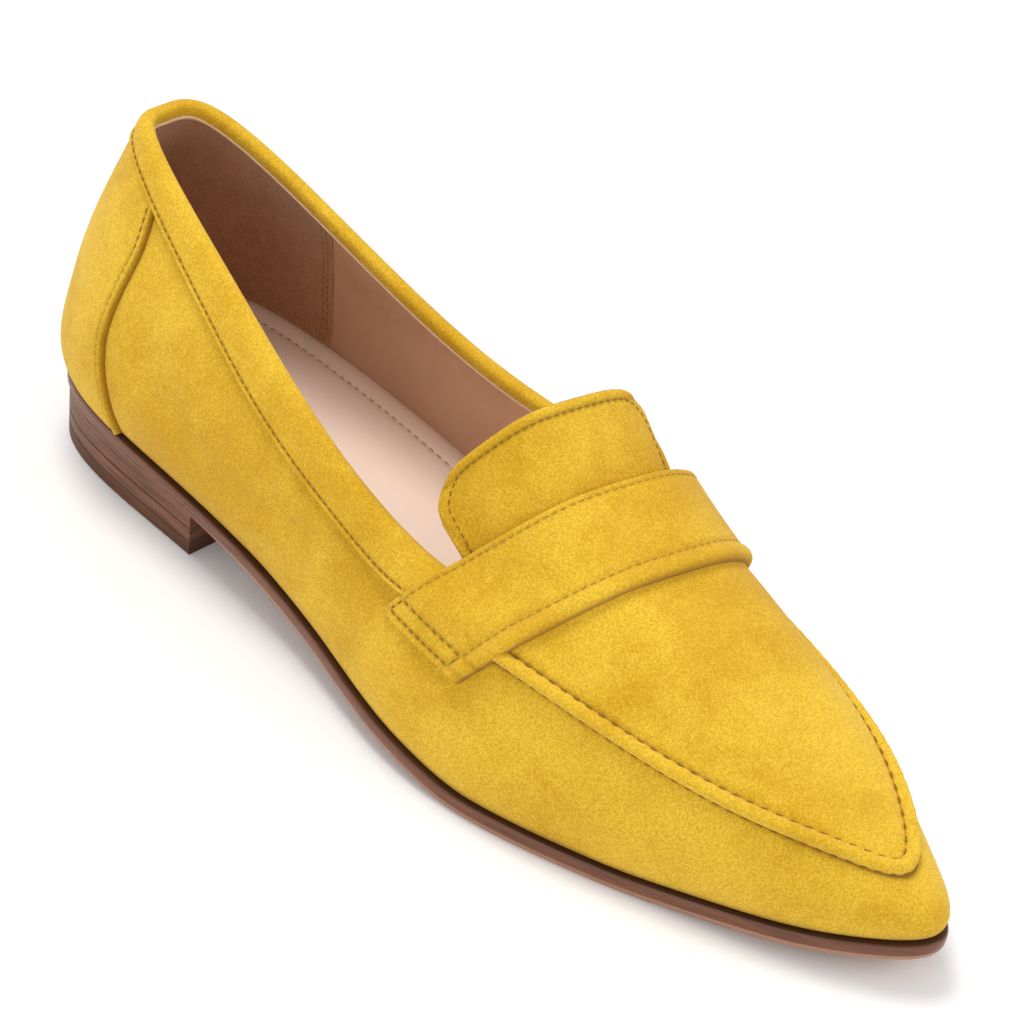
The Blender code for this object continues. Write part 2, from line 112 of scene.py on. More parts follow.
# Dressed pieces: how thick they are, where they end and where their seams run
TURN_LENGTH = 1.25 * LAST_LENGTH
UPPER_BACK = 0.8 * MM
UPPER_END = 0.6 * MM
LINING_BACK = 0.85 * MM
LINING_END = RIM_DROP + 0.6 * MM
LINING_RIPPLE = 0.25 * MM
HEEL_LINING_TURN = 0.256
HEEL_LINING_SLANT = 0.022
HEEL_LINING_LAP = 0.35 * MM
HEEL_LINING_ROWS = (1.6 * MM, 3.4 * MM)
COUNTER_THICKNESS = 1.1 * MM
COUNTER_ROW = 2.4 * MM
BAND_THICKNESS = 1.3 * MM
BAND_INNER = 0.66
BAND_ROW = 1.25 * MM
BAND_WAVE = 5.3 * MM
BACK_RISE = 1.2 * MM
STRAP_THICKNESS = 1.8 * MM
STRAP_RISE = 1.6 * MM
STRAP_FRONT_ROW = 4.3 * MM
STRAP_REAR_ROW = 1.7 * MM
STRAP_END_ROW = 2.4 * MM
STRAP_BOX = 6.6 * MM
STRAP_DENT = 0.35 * MM
TONGUE_THICKNESS = 1.6 * MM
TONGUE_SEAM = 2.4 * MM
BEAD_TURNS = (0.66, 1.34)
BEAD_FADE = 0.03
BEAD_PITCH = 3.2 * MM
GATHER_PITCH = 3.4 * MM
CREASE_DEPTH = 0.35 * MM
FOOTBED_ROW = 5.6 * MM
FOOTBED_LIFT = -(WALL + 0.35 * MM)
OUTSOLE_BEVEL = 0.7 * MM
OUTSOLE_ROUNDING = 0.4 * MM
HEEL_SOFT = 0.25 * MM
HEEL_SHARES = (0.0, 0.06, 0.12, 0.5, 0.88, 0.94, 1.0)
HAIR = 0.02 * MM

# Columns and rows of the pieces' grids
UPPER_GRID = (620, 76)
LINING_GRID = (420, 60)
HEEL_LINING_GRID = (220, 60)
COUNTER_GRID = (300, 64)
BAND_COLUMNS = 430
RIM_COLUMNS = 400
STRAP_GRID = (190, 52)
TONGUE_GRID = (110, 52)
FOOTBED_COLUMNS = 360
OUTSOLE_COLUMNS = 420

# Soft rows beside an edge: height in millimetres or share of the painted shade, then distance
# from the edge and width in millimetres
SEAM_BELOW = ((-0.55, 0.3, 0.9),)
SEAM_ABOVE = ((-0.3, 0.3, 0.8), (0.35, 4.0, 3.0))
SEAM_GATHERS = ((0.16, 1.8, 1.6),)
# Painted shade in the grooves beside the raised seam
SEAM_BELOW_SHADE = ((1.0, 0.35, 0.45),)
SEAM_ABOVE_SHADE = ((0.45, 0.3, 0.4),)
COUNTER_RIDGES = ((0.4, 1.0, 0.7), (-0.3, 2.4, 0.55))
# Painted shade under the counter's front edge and in its stitch row
COUNTER_SHADE = ((0.9, 0.0, 0.45), (0.4, 2.4, 0.4))
BAND_RIDGES = ((0.3, 0.6, 0.45), (-0.35, 1.25, 0.5))
BAND_WAVES = ((0.07, 3.5, 2.0),)
# Painted shade under the band's lower edge and in its stitch row
BAND_SHADE = ((1.0, 0.0, 0.3), (0.45, 1.25, 0.35))
TONGUE_RIDGES = ((-0.3, 2.4, 0.55), (0.15, 1.1, 0.7))
# Painted shade in the groove of the tongue's stitch row
TONGUE_SHADE = ((0.35, 2.4, 0.4),)
FOOTBED_RIDGES = ((0.5, 3.0, 2.0), (-0.35, 5.6, 0.8), (-0.5, 0.0, 0.9))

# Soft creases of the wall: from turn and up, to turn and up, then width and depth in millimetres
CREASES = (
    (0.24, 0.62, 0.34, 0.30, 6.0, 1.0),
    (0.30, 0.22, 0.44, 0.44, 5.0, 0.8),
    (0.38, 0.12, 0.52, 0.30, 6.0, 0.8),
    (0.46, 0.72, 0.58, 0.46, 5.0, 0.7),
    (0.62, 0.16, 0.74, 0.30, 6.0, 0.6),
    (1.40, 0.46, 1.54, 0.26, 6.0, 0.8),
    (1.56, 0.52, 1.68, 0.26, 6.0, 0.9),
    (1.72, 0.60, 1.80, 0.30, 6.0, 0.8),
)

# Edge of the outsole: distance outside its widest line and share of its thickness
OUTSOLE_PROFILE = (
    (-OUTSOLE_BEVEL * 1.05, 0.0),
    (-OUTSOLE_BEVEL * 0.72, 0.02),
    (-OUTSOLE_BEVEL * 0.36, 0.17),
    (-OUTSOLE_BEVEL * 0.06, 0.31),
    (0.0, 0.345),
    (-0.10 * MM, 0.37),
    (0.02 * MM, 0.42),
    (0.05 * MM, 0.65),
    (0.0, 0.85),
    (-OUTSOLE_ROUNDING * 0.4, 0.95),
    (-OUTSOLE_ROUNDING, 1.0),
    (-OUTSOLE_EDGE * 1.2, 1.0),
)

# Front edge of the heel counter: share of its height and turn
COUNTER_EDGE = np.array((
    (0.00, 0.214),
    (0.22, 0.213),
    (0.45, 0.207),
    (0.60, 0.199),
    (0.74, 0.194),
    (0.86, 0.190),
    (1.00, 0.176),
))

# One bead of thread: shares of half its length and of its radius
BEAD_RINGS = ((-1.0, 0.35), (-0.6, 0.95), (0.6, 0.95), (1.0, 0.35))
BEAD_SIDES = 6

# Camera as in the photograph, and the lamps: place, size and power
CAMERA_AZIMUTH = math.radians(39.144)
CAMERA_ELEVATION = math.radians(37.284)
CAMERA_ROLL = math.radians(8.964)
CAMERA_PLACE = (464.7 * MM, -410.1 * MM, 444.7 * MM)
CAMERA_LENS = 106.3
LAMPS = {
    "key lamp": ((-0.5, 0.05, 1.35), 0.6, 10.5),
    "fill lamp": ((0.2, -1.2, 0.8), 1.0, 4.0),
    "side lamp": ((1.1, 0.6, 0.8), 0.8, 5.0),
}
LAMP_AIM = (0, 0, 0.03)
ROOM_LIGHT = 0.64
FLOOR_HALF = 6.0

# Closed lines of the last: a turn runs from 0 at the back over 1 at the tip to 2, and the other
# columns are shares of the last's length, half its width, and its back or instep height, all in
# thousandths.
COLUMNS = (
    "turn",
    "feather_x", "feather_out", "feather_in",
    "swell_x", "swell_out", "swell_in", "swell_up",
    "top_x", "top_out", "top_in", "top_back", "top_instep", "rise_in", "ahead_in",
)
SECTIONS = (
    (   0,    0,   0,    0, -20,   0,   0, 390,  34,   0,   0, 1000,   0,   0,  0),
    ( 100,   24, 500,  480,  28, 525, 520, 366,  49, 200, 250,  990,   0,   0,  0),
    ( 260,  190, 725,  712, 168, 775, 767, 368, 200, 435, 445,  826,   0,   0,  0),
    ( 470,  420, 855,  782, 410, 813, 805, 377, 400, 660, 630,  291, 428,   0,  0),
    ( 690,  648, 985, 1003, 610, 796, 755, 527, 575, 645, 670,    0, 722, 108, 12),
    ( 850,  860, 550,  596, 822, 527, 561, 390, 602, 378, 440,    0, 910,  15, 20),
    ( 950,  957, 255,  295, 928, 215, 237, 272, 619, 171, 195,    0, 959,   2,  8),
    (1000, 1000,   0,    0, 960,   0,   0, 203, 623,   0,   0,    0, 965,   0,  0),
)
TABLE = dict(zip(COLUMNS, np.array(SECTIONS).T / 1000))

# Profile of the feather line: shares of the length, of the seat's height and of the toe spring
PROFILE = np.array((
    (0.000, 1.000, 0.00),
    (0.155, 0.868, 0.00),
    (0.290, 0.715, 0.00),
    (0.426, 0.430, 0.00),
    (0.560, 0.150, 0.00),
    (0.640, 0.000, 0.00),
    (0.760, 0.000, 0.00),
    (0.830, 0.000, 0.15),
    (0.930, 0.000, 0.57),
    (1.000, 0.000, 1.00),
))


def length(vectors):
    """Length of each vector, kept as a last axis of one."""
    return np.linalg.norm(vectors, axis=-1, keepdims=True)


def ease(value, low, high):
    """0 below low and 1 above high, 3w^2 - 2w^3 in between."""
    w = np.clip((value - low) / (high - low), 0, 1)
    return w * w * (3 - 2 * w)


def bump(value, centre, width):
    """Soft hill of height 1: exp(-((value - centre) / width)^2)."""
    return np.exp(-(((value - centre) / width) ** 2))


def soft_rows(edge, rows):
    """Sum of size * bump(edge, distance, width) over rows of size, distance and width in mm."""
    return sum(size * bump(edge, middle * MM, width * MM) for size, middle, width in rows)


def through(knots, values, slopes, at):
    """Value and slope at each place of the cubic through the knots with the given slopes."""
    k = np.clip(np.searchsorted(knots, at, side="right") - 1, 0, len(knots) - 2)
    step = knots[k + 1] - knots[k]
    w = (at - knots[k]) / step
    if values.ndim > 1:
        step = step[..., None]
        w = w[..., None]
    value = (
        values[k] * (1 + 2 * w) * (1 - w) ** 2
        + values[k + 1] * w * w * (3 - 2 * w)
        + slopes[k] * step * w * (1 - w) ** 2
        - slopes[k + 1] * step * w * w * (1 - w)
    )
    slope = (
        6 * w * (1 - w) * (values[k + 1] - values[k]) / step
        + slopes[k] * (1 - w) * (1 - 3 * w)
        + slopes[k + 1] * w * (3 * w - 2)
    )
    return value, slope


def level_slopes(knots, values):
    """Harmonic mean of the rates on both sides, and 0 where they differ in sign."""
    rate = np.diff(values) / np.diff(knots)
    before = rate[:-1]
    after = rate[1:]
    same_way = before * after > 0
    total = np.where(same_way, before + after, 1)
    return np.concatenate([rate[:1], np.where(same_way, 2 * before * after / total, 0), rate[-1:]])


def closed_slopes(knots, values):
    """Slopes of the smooth closed curve whose last knot repeats the first one."""
    step = np.diff(knots)
    rate = np.diff(values, axis=0) / step[:, None]
    last = np.roll(step, 1)
    count = len(step)
    k = np.arange(count)
    weights = np.zeros((count, count))
    weights[k, k - 1] += step
    weights[k, k] += 2 * (step + last)
    weights[k, (k + 1) % count] += last
    sides = 3 * (step[:, None] * np.roll(rate, 1, axis=0) + last[:, None] * rate)
    slopes = np.linalg.solve(weights, sides)
    return np.vstack([slopes, slopes[:1]])


PROFILE_X = PROFILE[:, 0] * LAST_LENGTH
PROFILE_Z = (
    OUTSOLE_THICKNESS
    + PROFILE[:, 1] * (SEAT_HEIGHT - OUTSOLE_THICKNESS)
    + PROFILE[:, 2] * TOE_SPRING
)
PROFILE_SLOPES = level_slopes(PROFILE_X, PROFILE_Z)
TURNS = np.concatenate([TABLE["turn"], 2 - TABLE["turn"][-2::-1]])


def sole_height(x):
    """Height of the feather line over the floor: a level-keeping cubic through PROFILE."""
    return through(PROFILE_X, PROFILE_Z, PROFILE_SLOPES, np.clip(x, 0, LAST_LENGTH))[0]


def line_round(x, outer, inner, z, tip_y=0.0, inner_rise=0.0, inner_ahead=0.0):
    """Closed line through the sections: down the outer side to the tip and back on the inner."""
    out_side = np.column_stack([x, -outer * BALL_WIDTH / 2, z])
    in_side = np.column_stack([x + inner_ahead, inner * BALL_WIDTH / 2, z + inner_rise])
    out_side[-1, 1] = tip_y
    points = np.vstack([out_side, in_side[-2::-1]])
    return points, closed_slopes(TURNS, points)


FEATHER_X = TABLE["feather_x"] * LAST_LENGTH
FEATHER = line_round(
    FEATHER_X, TABLE["feather_out"], TABLE["feather_in"], sole_height(FEATHER_X), tip_y=TOE_TURN
)
SWELL = line_round(
    TABLE["swell_x"] * LAST_LENGTH,
    TABLE["swell_out"],
    TABLE["swell_in"],
    sole_height(FEATHER_X) + TABLE["swell_up"] * INSTEP_HEIGHT,
)
TOPLINE = line_round(
    TABLE["top_x"] * LAST_LENGTH,
    TABLE["top_out"],
    TABLE["top_in"],
    TABLE["top_back"] * BACK_HEIGHT + TABLE["top_instep"] * INSTEP_HEIGHT,
    inner_rise=TABLE["rise_in"] * INSTEP_HEIGHT,
    inner_ahead=TABLE["ahead_in"] * LAST_LENGTH,
)


def on_line(line, turn):
    """Points and slopes of a closed line at these turns."""
    return through(TURNS, line[0], line[1], np.mod(turn, 2.0))


def feather_at(turn):
    """Points of the feather line, at the sole's height there."""
    points = on_line(FEATHER, turn)[0]
    points[..., 2] = sole_height(points[..., 0])
    return points


def outward(turn):
    """Level direction square to the feather line: its slope turned a quarter round."""
    slope = on_line(FEATHER, turn)[1]
    side = np.stack([slope[..., 1], -slope[..., 0], 0 * slope[..., 0]], -1)
    return side / length(side)


def cubic(a, b, c, d, w):
    """Cubic with its ends a and d and its handles b and c, at w from 0 to 1."""
    return (1 - w) ** 3 * a + 3 * (1 - w) ** 2 * w * b + 3 * (1 - w) * w * w * c + w**3 * d


def wall(turn, up):
    """Outer face of the upper: one cubic from feather to swell, one from swell to topline.

    up is 0 at the feather, 0.5 at the swell and 1 at the topline, and the rib runs on straight.
    """
    turn, up = np.broadcast_arrays(np.asarray(turn, float), np.asarray(up, float))
    feather = feather_at(turn)
    swell = on_line(SWELL, turn)[0]
    top = on_line(TOPLINE, turn)[0]
    side = outward(turn)
    low_rise = length(swell - feather)
    along = (top - feather) / length(top - feather)
    foot = feather + side * FEATHER_FLARE + np.array([0, 0, FEATHER_LIFT]) * low_rise
    below = swell - along * low_rise / 3
    above = swell + along * length(top - swell) / 3
    under = top - (top - swell) / 3 + side * TOPLINE_LEAN
    lower = cubic(feather, foot, below, swell, np.clip(2 * up, 0, 1)[..., None])
    upper = cubic(swell, above, under, top, np.clip(2 * up - 1, 0, 1)[..., None])
    beyond = 3 * (top - under) * np.maximum(2 * up - 2, 0)[..., None]
    return np.where((up <= 0.5)[..., None], lower, upper + beyond)


def wall_normal(turn, up, step=1e-4):
    """Cross product of the wall's two directions, made one long."""
    across = wall(turn + step, up) - wall(turn - step, up)
    rising = wall(turn, up + step) - wall(turn, up - step)
    normal = np.cross(across, rising)
    return normal / length(normal)


def lay(turn, up, lift):
    """Points that lie lift outside the wall: wall + lift times its normal."""
    turn, up = np.broadcast_arrays(np.asarray(turn, float), np.asarray(up, float))
    lift = np.broadcast_to(lift, turn.shape)
    return wall(turn, up) + wall_normal(turn, up) * lift[..., None]


RIB_TURNS = np.linspace(0, 2, 1601)
RIB_UPS = np.linspace(0, 2, FINE)
RIB_STEPS = length(np.diff(wall(RIB_TURNS[:, None], RIB_UPS[None]), axis=1))[..., 0]
RIB_RUNS = np.cumsum(np.pad(RIB_STEPS, ((0, 0), (1, 0))), axis=1)
RIB_RUNS -= RIB_RUNS[:, RIB_UPS == 1]


def rib_runs(turn):
    """Runs past the topline along each turn's rib, blended between the two nearest listed ribs."""
    at = np.mod(turn.ravel(), 2.0) / RIB_TURNS[1]
    k = np.clip(at.astype(int), 0, len(RIB_TURNS) - 2)
    w = (at - k)[:, None]
    return RIB_RUNS[k] * (1 - w) + RIB_RUNS[k + 1] * w


def up_at(turn, run):
    """up of the points that lie run past the topline along their rib, run below 0 on the wall."""
    turn, run = np.broadcast_arrays(np.asarray(turn, float), np.asarray(run, float))
    rows = rib_runs(turn)
    at = run.ravel()[:, None]
    k = np.clip((rows <= at).sum(axis=1) - 1, 0, FINE - 2)
    each = np.arange(len(k))
    share = (at[:, 0] - rows[each, k]) / (rows[each, k + 1] - rows[each, k])
    return ((k + share) * RIB_UPS[1]).reshape(turn.shape)


def runs_at(turn, up):
    """Run past the topline of the points at turn and up."""
    turn, up = np.broadcast_arrays(np.asarray(turn, float), np.asarray(up, float))
    rows = rib_runs(turn)
    at = up.ravel() / RIB_UPS[1]
    k = np.clip(at.astype(int), 0, FINE - 2)
    each = np.arange(len(k))
    value = rows[each, k] + (at - k) * (rows[each, k + 1] - rows[each, k])
    return value.reshape(turn.shape)


def strap_place(points):
    """How far forward points lie, measured square to the strap's edges."""
    return points[..., 0] - STRAP_SKEW * points[..., 1] - STRAP_LEAN * points[..., 2]


def turn_at_strap(place, run, low, high):
    """Turn between low and high where the line at this run meets the strap's edge at place."""
    turns = np.linspace(low, high, FINE)
    places = strap_place(wall(turns, up_at(turns, run)))
    order = np.argsort(places)
    return np.interp(place, places[order], turns[order])


def strap_course(place, count):
    """Turn and up of evenly spaced points along the strap's line at place, from end to end."""
    turns = np.linspace(STRAP_SIDE, 2 - STRAP_SIDE, FINE)
    ups = np.linspace(0, 2, FINE)
    places = strap_place(wall(turns[:, None], ups[None]))
    ups_here = np.array([np.interp(place, row[::-1], ups[::-1]) for row in places])
    points = wall(turns, ups_here)
    rise = points[:, 2] - sole_height(points[:, 0])
    outer = turns < 1
    first = np.interp(STRAP_END_RISE, rise[outer], turns[outer])
    last = np.interp(STRAP_END_RISE, rise[~outer][::-1], turns[~outer][::-1])
    fine = np.linspace(first, last, 2 * FINE)
    fine_ups = np.interp(fine, turns, ups_here)
    steps = length(np.diff(wall(fine, fine_ups), axis=0))[:, 0]
    runs = np.concatenate([[0], np.cumsum(steps)])
    even = np.interp(np.linspace(0, runs[-1], count), runs, fine)
    return even, np.interp(even, turns, ups_here)


def band_depth(turn):
    """Reach of the collar band below the topline: sin^1.5 from the back to its widest place."""
    from_back = np.minimum(np.mod(turn, 2.0), np.mod(-turn, 2.0))
    grown = np.sin(np.pi / 2 * from_back / BAND_WIDEST) ** 1.5
    return BAND_BACK + (BAND_WIDTH - BAND_BACK) * grown


def outline(turns, edge):
    """Feather line moved out by edge: feather + edge times the outward direction."""
    return feather_at(turns) + outward(turns) * edge


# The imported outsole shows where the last's origin lies in the frame.
WIDEST = outline(np.linspace(0, 2, 80, endpoint=False), OUTSOLE_EDGE).max(axis=0)
ORIGIN = np.array([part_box("outsole")[1].x - WIDEST[0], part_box("outsole")[1].y - WIDEST[1], 0.0])


def counter_end(share):
    """Turn of the heel counter's front edge at this share of its height, through COUNTER_EDGE."""
    knots, turns = COUNTER_EDGE.T
    return through(knots, turns, level_slopes(knots, turns), np.asarray(share, float))[0]


def grid_normals(points, ring=False):
    """Cross product of the grid's two differences, made one long."""
    if ring:
        across = np.roll(points, -1, axis=1) - np.roll(points, 1, axis=1)
    else:
        across = np.gradient(points, axis=1)
    rising = np.gradient(points, axis=0)
    normal = np.cross(across, rising)
    return normal / np.maximum(length(normal), 1e-12)


def row_runs(points):
    """Distance from the first column along each row."""
    steps = length(np.diff(points, axis=1))[..., 0]
    return np.cumsum(np.pad(steps, ((0, 0), (1, 0))), axis=1)


def column_runs(points):
    """Distance from the first row along each column."""
    steps = length(np.diff(points, axis=0))[..., 0]
    return np.cumsum(np.pad(steps, ((1, 0), (0, 0))), axis=0)


def from_ends(runs):
    """Distance from the nearer end of each row: its run, or what is left of it."""
    return np.minimum(runs, runs[..., -1:] - runs)


def between(values, row, column):
    """Values of a grid at fractional rows and columns, blended from the four corners there."""
    low = np.clip(row.astype(int), 0, len(values) - 2)
    left = np.clip(column.astype(int), 0, values.shape[1] - 2)
    a = (row - low)[:, None]
    b = (column - left)[:, None]
    first = values[low, left] * (1 - b) + values[low, left + 1] * b
    second = values[low + 1, left] * (1 - b) + values[low + 1, left + 1] * b
    return first * (1 - a) + second * a


def whole_round(columns, rows):
    """Even grid of turns all round the shoe and of shares from the foot to the rim."""
    return np.meshgrid(np.linspace(0, 2, columns, endpoint=False), np.linspace(0, 1, rows))


def round_back(columns, rows):
    """Even grid of reaches from -1 to 1 round the back and of shares from the foot to the rim."""
    return np.meshgrid(np.linspace(-1, 1, columns), np.linspace(0, 1, rows))


def grid_faces(rows, columns, ring=False):
    """Quads of a grid stored row by row, closed round its columns if ring is set."""
    row = np.arange(rows - 1)[:, None] * columns
    column = np.arange(columns if ring else columns - 1)[None]
    after = (column + 1) % columns
    corners = (row + column, row + after, row + columns + after, row + columns + column)
    return np.stack(corners, -1).reshape(-1, 4)


def mesh_piece(
    name, points, faces, finish, slot, replaced=(), uv=None, seam=None, sharp=50.0
):
    """Mesh at the frame's place, riding on the shoe, with its UV map and its seam attribute of
    painted shade.
    """
    mesh = bpy.data.meshes.new(name)
    mesh.from_pydata((points.reshape(-1, 3) + ORIGIN).tolist(), [], faces)
    mesh.materials.append(finish)
    mesh.shade_smooth()
    mesh.set_sharp_from_angle(angle=math.radians(sharp))
    if uv is not None:
        corners = np.empty(len(mesh.loops), np.int32)
        mesh.loops.foreach_get("vertex_index", corners)
        layer = mesh.uv_layers.new(name="place")
        layer.data.foreach_set("uv", uv.reshape(-1, 2)[corners].ravel())
    # Painted shade per point, which the finishes read as the seam attribute
    painted_shade = np.zeros(len(mesh.vertices)) if seam is None else seam.ravel()
    mesh.attributes.new("seam", "FLOAT", "POINT").data.foreach_set("value", painted_shade)
    made = bpy.data.objects.new(name, mesh)
    bpy.context.scene.collection.objects.link(made)
    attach(made, "root")
    if replaced:
        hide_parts(*replaced)
    return made


def shell(name, front, back, finish, slot, replaced=(), ring=False, seam=None):
    """Closed sheet: a front grid, a back grid turned round, and strips along their borders."""
    rows, columns = front.shape[:2]
    faces = grid_faces(rows, columns, ring)
    below = rows * columns
    number = np.arange(below).reshape(rows, columns)

    def strip(line):
        """Quads from a border line of the front grid to the same line of the back grid."""
        first, second = line[:-1], line[1:]
        return np.stack([first, second, second + below, first + below], -1)

    foot = number[0, ::-1]
    head = number[-1]
    if ring:
        foot = np.append(foot, foot[0])
        head = np.append(head, head[0])
    parts = [faces, faces[:, ::-1] + below, strip(foot), strip(head)]
    if not ring:
        parts += [strip(number[:, 0]), strip(number[::-1, -1])]
    along = row_runs(front)
    up = column_runs(front)
    uv = np.stack([along, up], -1)
    # Painted shade of the seams, the same on both faces
    painted_shade = np.zeros((rows, columns)) if seam is None else seam
    return mesh_piece(
        name,
        np.concatenate([front, back]),
        np.concatenate(parts).tolist(),
        finish,
        slot,
        replaced,
        uv=np.concatenate([uv, uv]),
        seam=np.concatenate([painted_shade, painted_shade]),
    )


def plate(name, rings, finish, slot, replaced=(), shares=None):
    """Closed plate: rings from its underside to its top, with ladders of quads across both ends."""
    rings = np.array(rings)
    levels, count = rings.shape[:2]
    half = (count - 1) // 2
    near = np.arange(1, half + 1)
    far = count - near
    rungs = np.stack([near[:-1], near[1:], far[1:], far[:-1]], -1).tolist()
    rungs.append([0, 1, count - 1])
    if count % 2 == 0:
        rungs.append([half, half + 1, half + 2])
    top = (levels - 1) * count
    faces = grid_faces(levels, count, ring=True).tolist()
    faces += [[corner + top for corner in rung] for rung in rungs]
    faces += [rung[::-1] for rung in rungs]
    heights = np.linspace(0, 1, levels) if shares is None else np.array(shares)
    around = row_runs(rings)
    uv = np.stack([around, np.broadcast_to(heights[:, None], around.shape)], -1)
    return mesh_piece(name, rings, faces, finish, slot, replaced, uv=uv, sharp=35.0)


def bead_rows(path, normal, pitch, size, skip=0.0):
    """Points of one thread bead for each pitch of a path: centre + x ahead + y beside + z up.

    Each bead is rings of BEAD_SIDES points whose radius follows BEAD_RINGS.
    """
    runs = row_runs(path[None])[0]
    count = max(int((runs[-1] - 2 * skip) / pitch), 1)
    places = skip + (np.arange(count) + 0.5) * (runs[-1] - 2 * skip) / count
    ahead = np.gradient(path, axis=0)

    def at(values):
        """Values at the beads' places along the path."""
        return np.stack([np.interp(places, runs, values[:, axis]) for axis in range(3)], -1)

    centre, ahead, up = at(path), at(ahead), at(normal)
    ahead /= length(ahead)
    beside = np.cross(up, ahead)
    beside /= length(beside)
    up = np.cross(ahead, beside)
    turn = np.linspace(0, 2 * np.pi, BEAD_SIDES, endpoint=False)
    rings = np.array(BEAD_RINGS)
    x = np.repeat(rings[:, 0], BEAD_SIDES) * size[0] / 2
    y = np.outer(rings[:, 1], np.cos(turn)).ravel() * size[1] / 2
    z = np.outer(rings[:, 1], np.sin(turn)).ravel() * size[2] / 2
    return (
        centre[:, None]
        + x[None, :, None] * ahead[:, None]
        + y[None, :, None] * beside[:, None]
        + z[None, :, None] * up[:, None]
    )


def stitches(name, lines, finish, slot):
    """One mesh of all beads of the given lines, each a path, its normals, pitch and bead size."""
    beads = np.concatenate([bead_rows(*line) for line in lines])
    each = len(BEAD_RINGS) * BEAD_SIDES
    rings = grid_faces(len(BEAD_RINGS), BEAD_SIDES, ring=True)
    start = np.arange(len(beads))[:, None, None] * each
    quads = (rings[None] + start).reshape(-1, 4).tolist()
    cap = np.arange(BEAD_SIDES)
    low = (cap[::-1][None] + start[:, 0]).tolist()
    high = ((cap + each - BEAD_SIDES)[None] + start[:, 0]).tolist()
    return mesh_piece(name, beads, quads + low + high, finish, slot, sharp=80.0)


class Wire:
    """A value socket whose operators add the Math nodes of an expression."""

    def __init__(self, finish, socket):
        self.finish = finish
        self.socket = socket

    def math(self, operation, *values):
        """One Math node on these values or sockets."""
        node = self.finish.node("ShaderNodeMath", {"operation": operation}, dict(enumerate(values)))
        return Wire(self.finish, node.outputs[0])

    def __add__(self, other):
        return self.math("ADD", self, other)

    def __sub__(self, other):
        return self.math("SUBTRACT", self, other)

    def __rsub__(self, other):
        return self.math("SUBTRACT", other, self)

    def __mul__(self, other):
        return self.math("MULTIPLY", self, other)

    __radd__ = __add__
    __rmul__ = __mul__


class Finish:
    """A Principled material with its pattern worked out in nodes."""

    def __init__(self, name, **uniform):
        self.material = bpy.data.materials.new(name)
        self.material.use_nodes = True
        self.tree = self.material.node_tree
        self.shader = self.tree.nodes["Principled BSDF"]
        for socket, value in uniform.items():
            self.shader.inputs[socket.replace("_", " ")].default_value = value

    def put(self, socket, value):
        """Link a socket to this value, or set the value on it."""
        if isinstance(value, Wire):
            value = value.socket
        if isinstance(value, bpy.types.NodeSocket):
            self.tree.links.new(value, socket)
        elif isinstance(value, tuple) and len(value) == 3 and socket.type == "RGBA":
            socket.default_value = (*value, 1)
        else:
            socket.default_value = value

    def node(self, kind, settings=None, values=None):
        """Node of this kind: its settings first, then the values or links of its sockets."""
        made = self.tree.nodes.new(kind)
        for key, value in (settings or {}).items():
            setattr(made, key, value)
        for key, value in (values or {}).items():
            self.put(made.inputs[key], value)
        return made

    def spot(self, stretch=(1, 1, 1), uv=False):
        """Object coordinates, or the piece's UV map, with each direction scaled."""
        from_where = self.node("ShaderNodeTexCoord").outputs["UV" if uv else "Object"]
        values = {0: from_where, 1: stretch}
        return self.node("ShaderNodeVectorMath", {"operation": "MULTIPLY"}, values).outputs[0]

    def noise(self, grain, detail=3.0, rough=0.55, stretch=(1, 1, 1), uv=False, distortion=0.0):
        """Noise whose features are about grain metres wide."""
        values = {
            "Vector": self.spot(stretch, uv),
            "Scale": 0.5 / grain,
            "Detail": detail,
            "Roughness": rough,
            "Distortion": distortion,
        }
        return Wire(self, self.node("ShaderNodeTexNoise", None, values).outputs["Fac"])

    def axis(self, index, uv=False):
        """One coordinate, from the object's or the UV map's."""
        parts = self.node("ShaderNodeSeparateXYZ", None, {0: self.spot(uv=uv)})
        return Wire(self, parts.outputs[index])

    def seam(self):
        """The piece's own mark of painted shade: how far a point is darkened in the shade of a seam,
        a groove or an edge.
        """
        found = self.node("ShaderNodeAttribute", {"attribute_name": "seam"})
        return Wire(self, found.outputs["Fac"])

    def grade(self, value, low, high, to_low=0.0, to_high=1.0):
        """Smooth step of a value from low to high."""
        values = {
            "Value": value,
            "From Min": low,
            "From Max": high,
            "To Min": to_low,
            "To Max": to_high,
        }
        made = self.node("ShaderNodeMapRange", {"interpolation_type": "SMOOTHSTEP"}, values)
        return Wire(self, made.outputs["Result"])

    def mix(self, share, first, second):
        """Colour between the first and the second, at this share of the second."""
        node = self.node("ShaderNodeMix", {"data_type": "RGBA"}, {"Factor": share})
        self.put(node.inputs[6], first)
        self.put(node.inputs[7], second)
        return node.outputs[2]

    def relief(self, height, depth):
        """Normal of a fine relief that is depth metres high."""
        values = {"Height": height, "Distance": depth, "Strength": 1.0}
        return self.node("ShaderNodeBump", None, values).outputs["Normal"]

    def done(self, colour, roughness=None, normal=None):
        """Link what was worked out to the shader and give back the material."""
        self.put(self.shader.inputs["Base Color"], colour)
        if roughness is not None:
            self.put(self.shader.inputs["Roughness"], roughness)
        if normal is not None:
            self.put(self.shader.inputs["Normal"], normal)
        return self.material


def darker(colour, share):
    """Colour with each channel multiplied by share."""
    return tuple(channel * share for channel in colour)


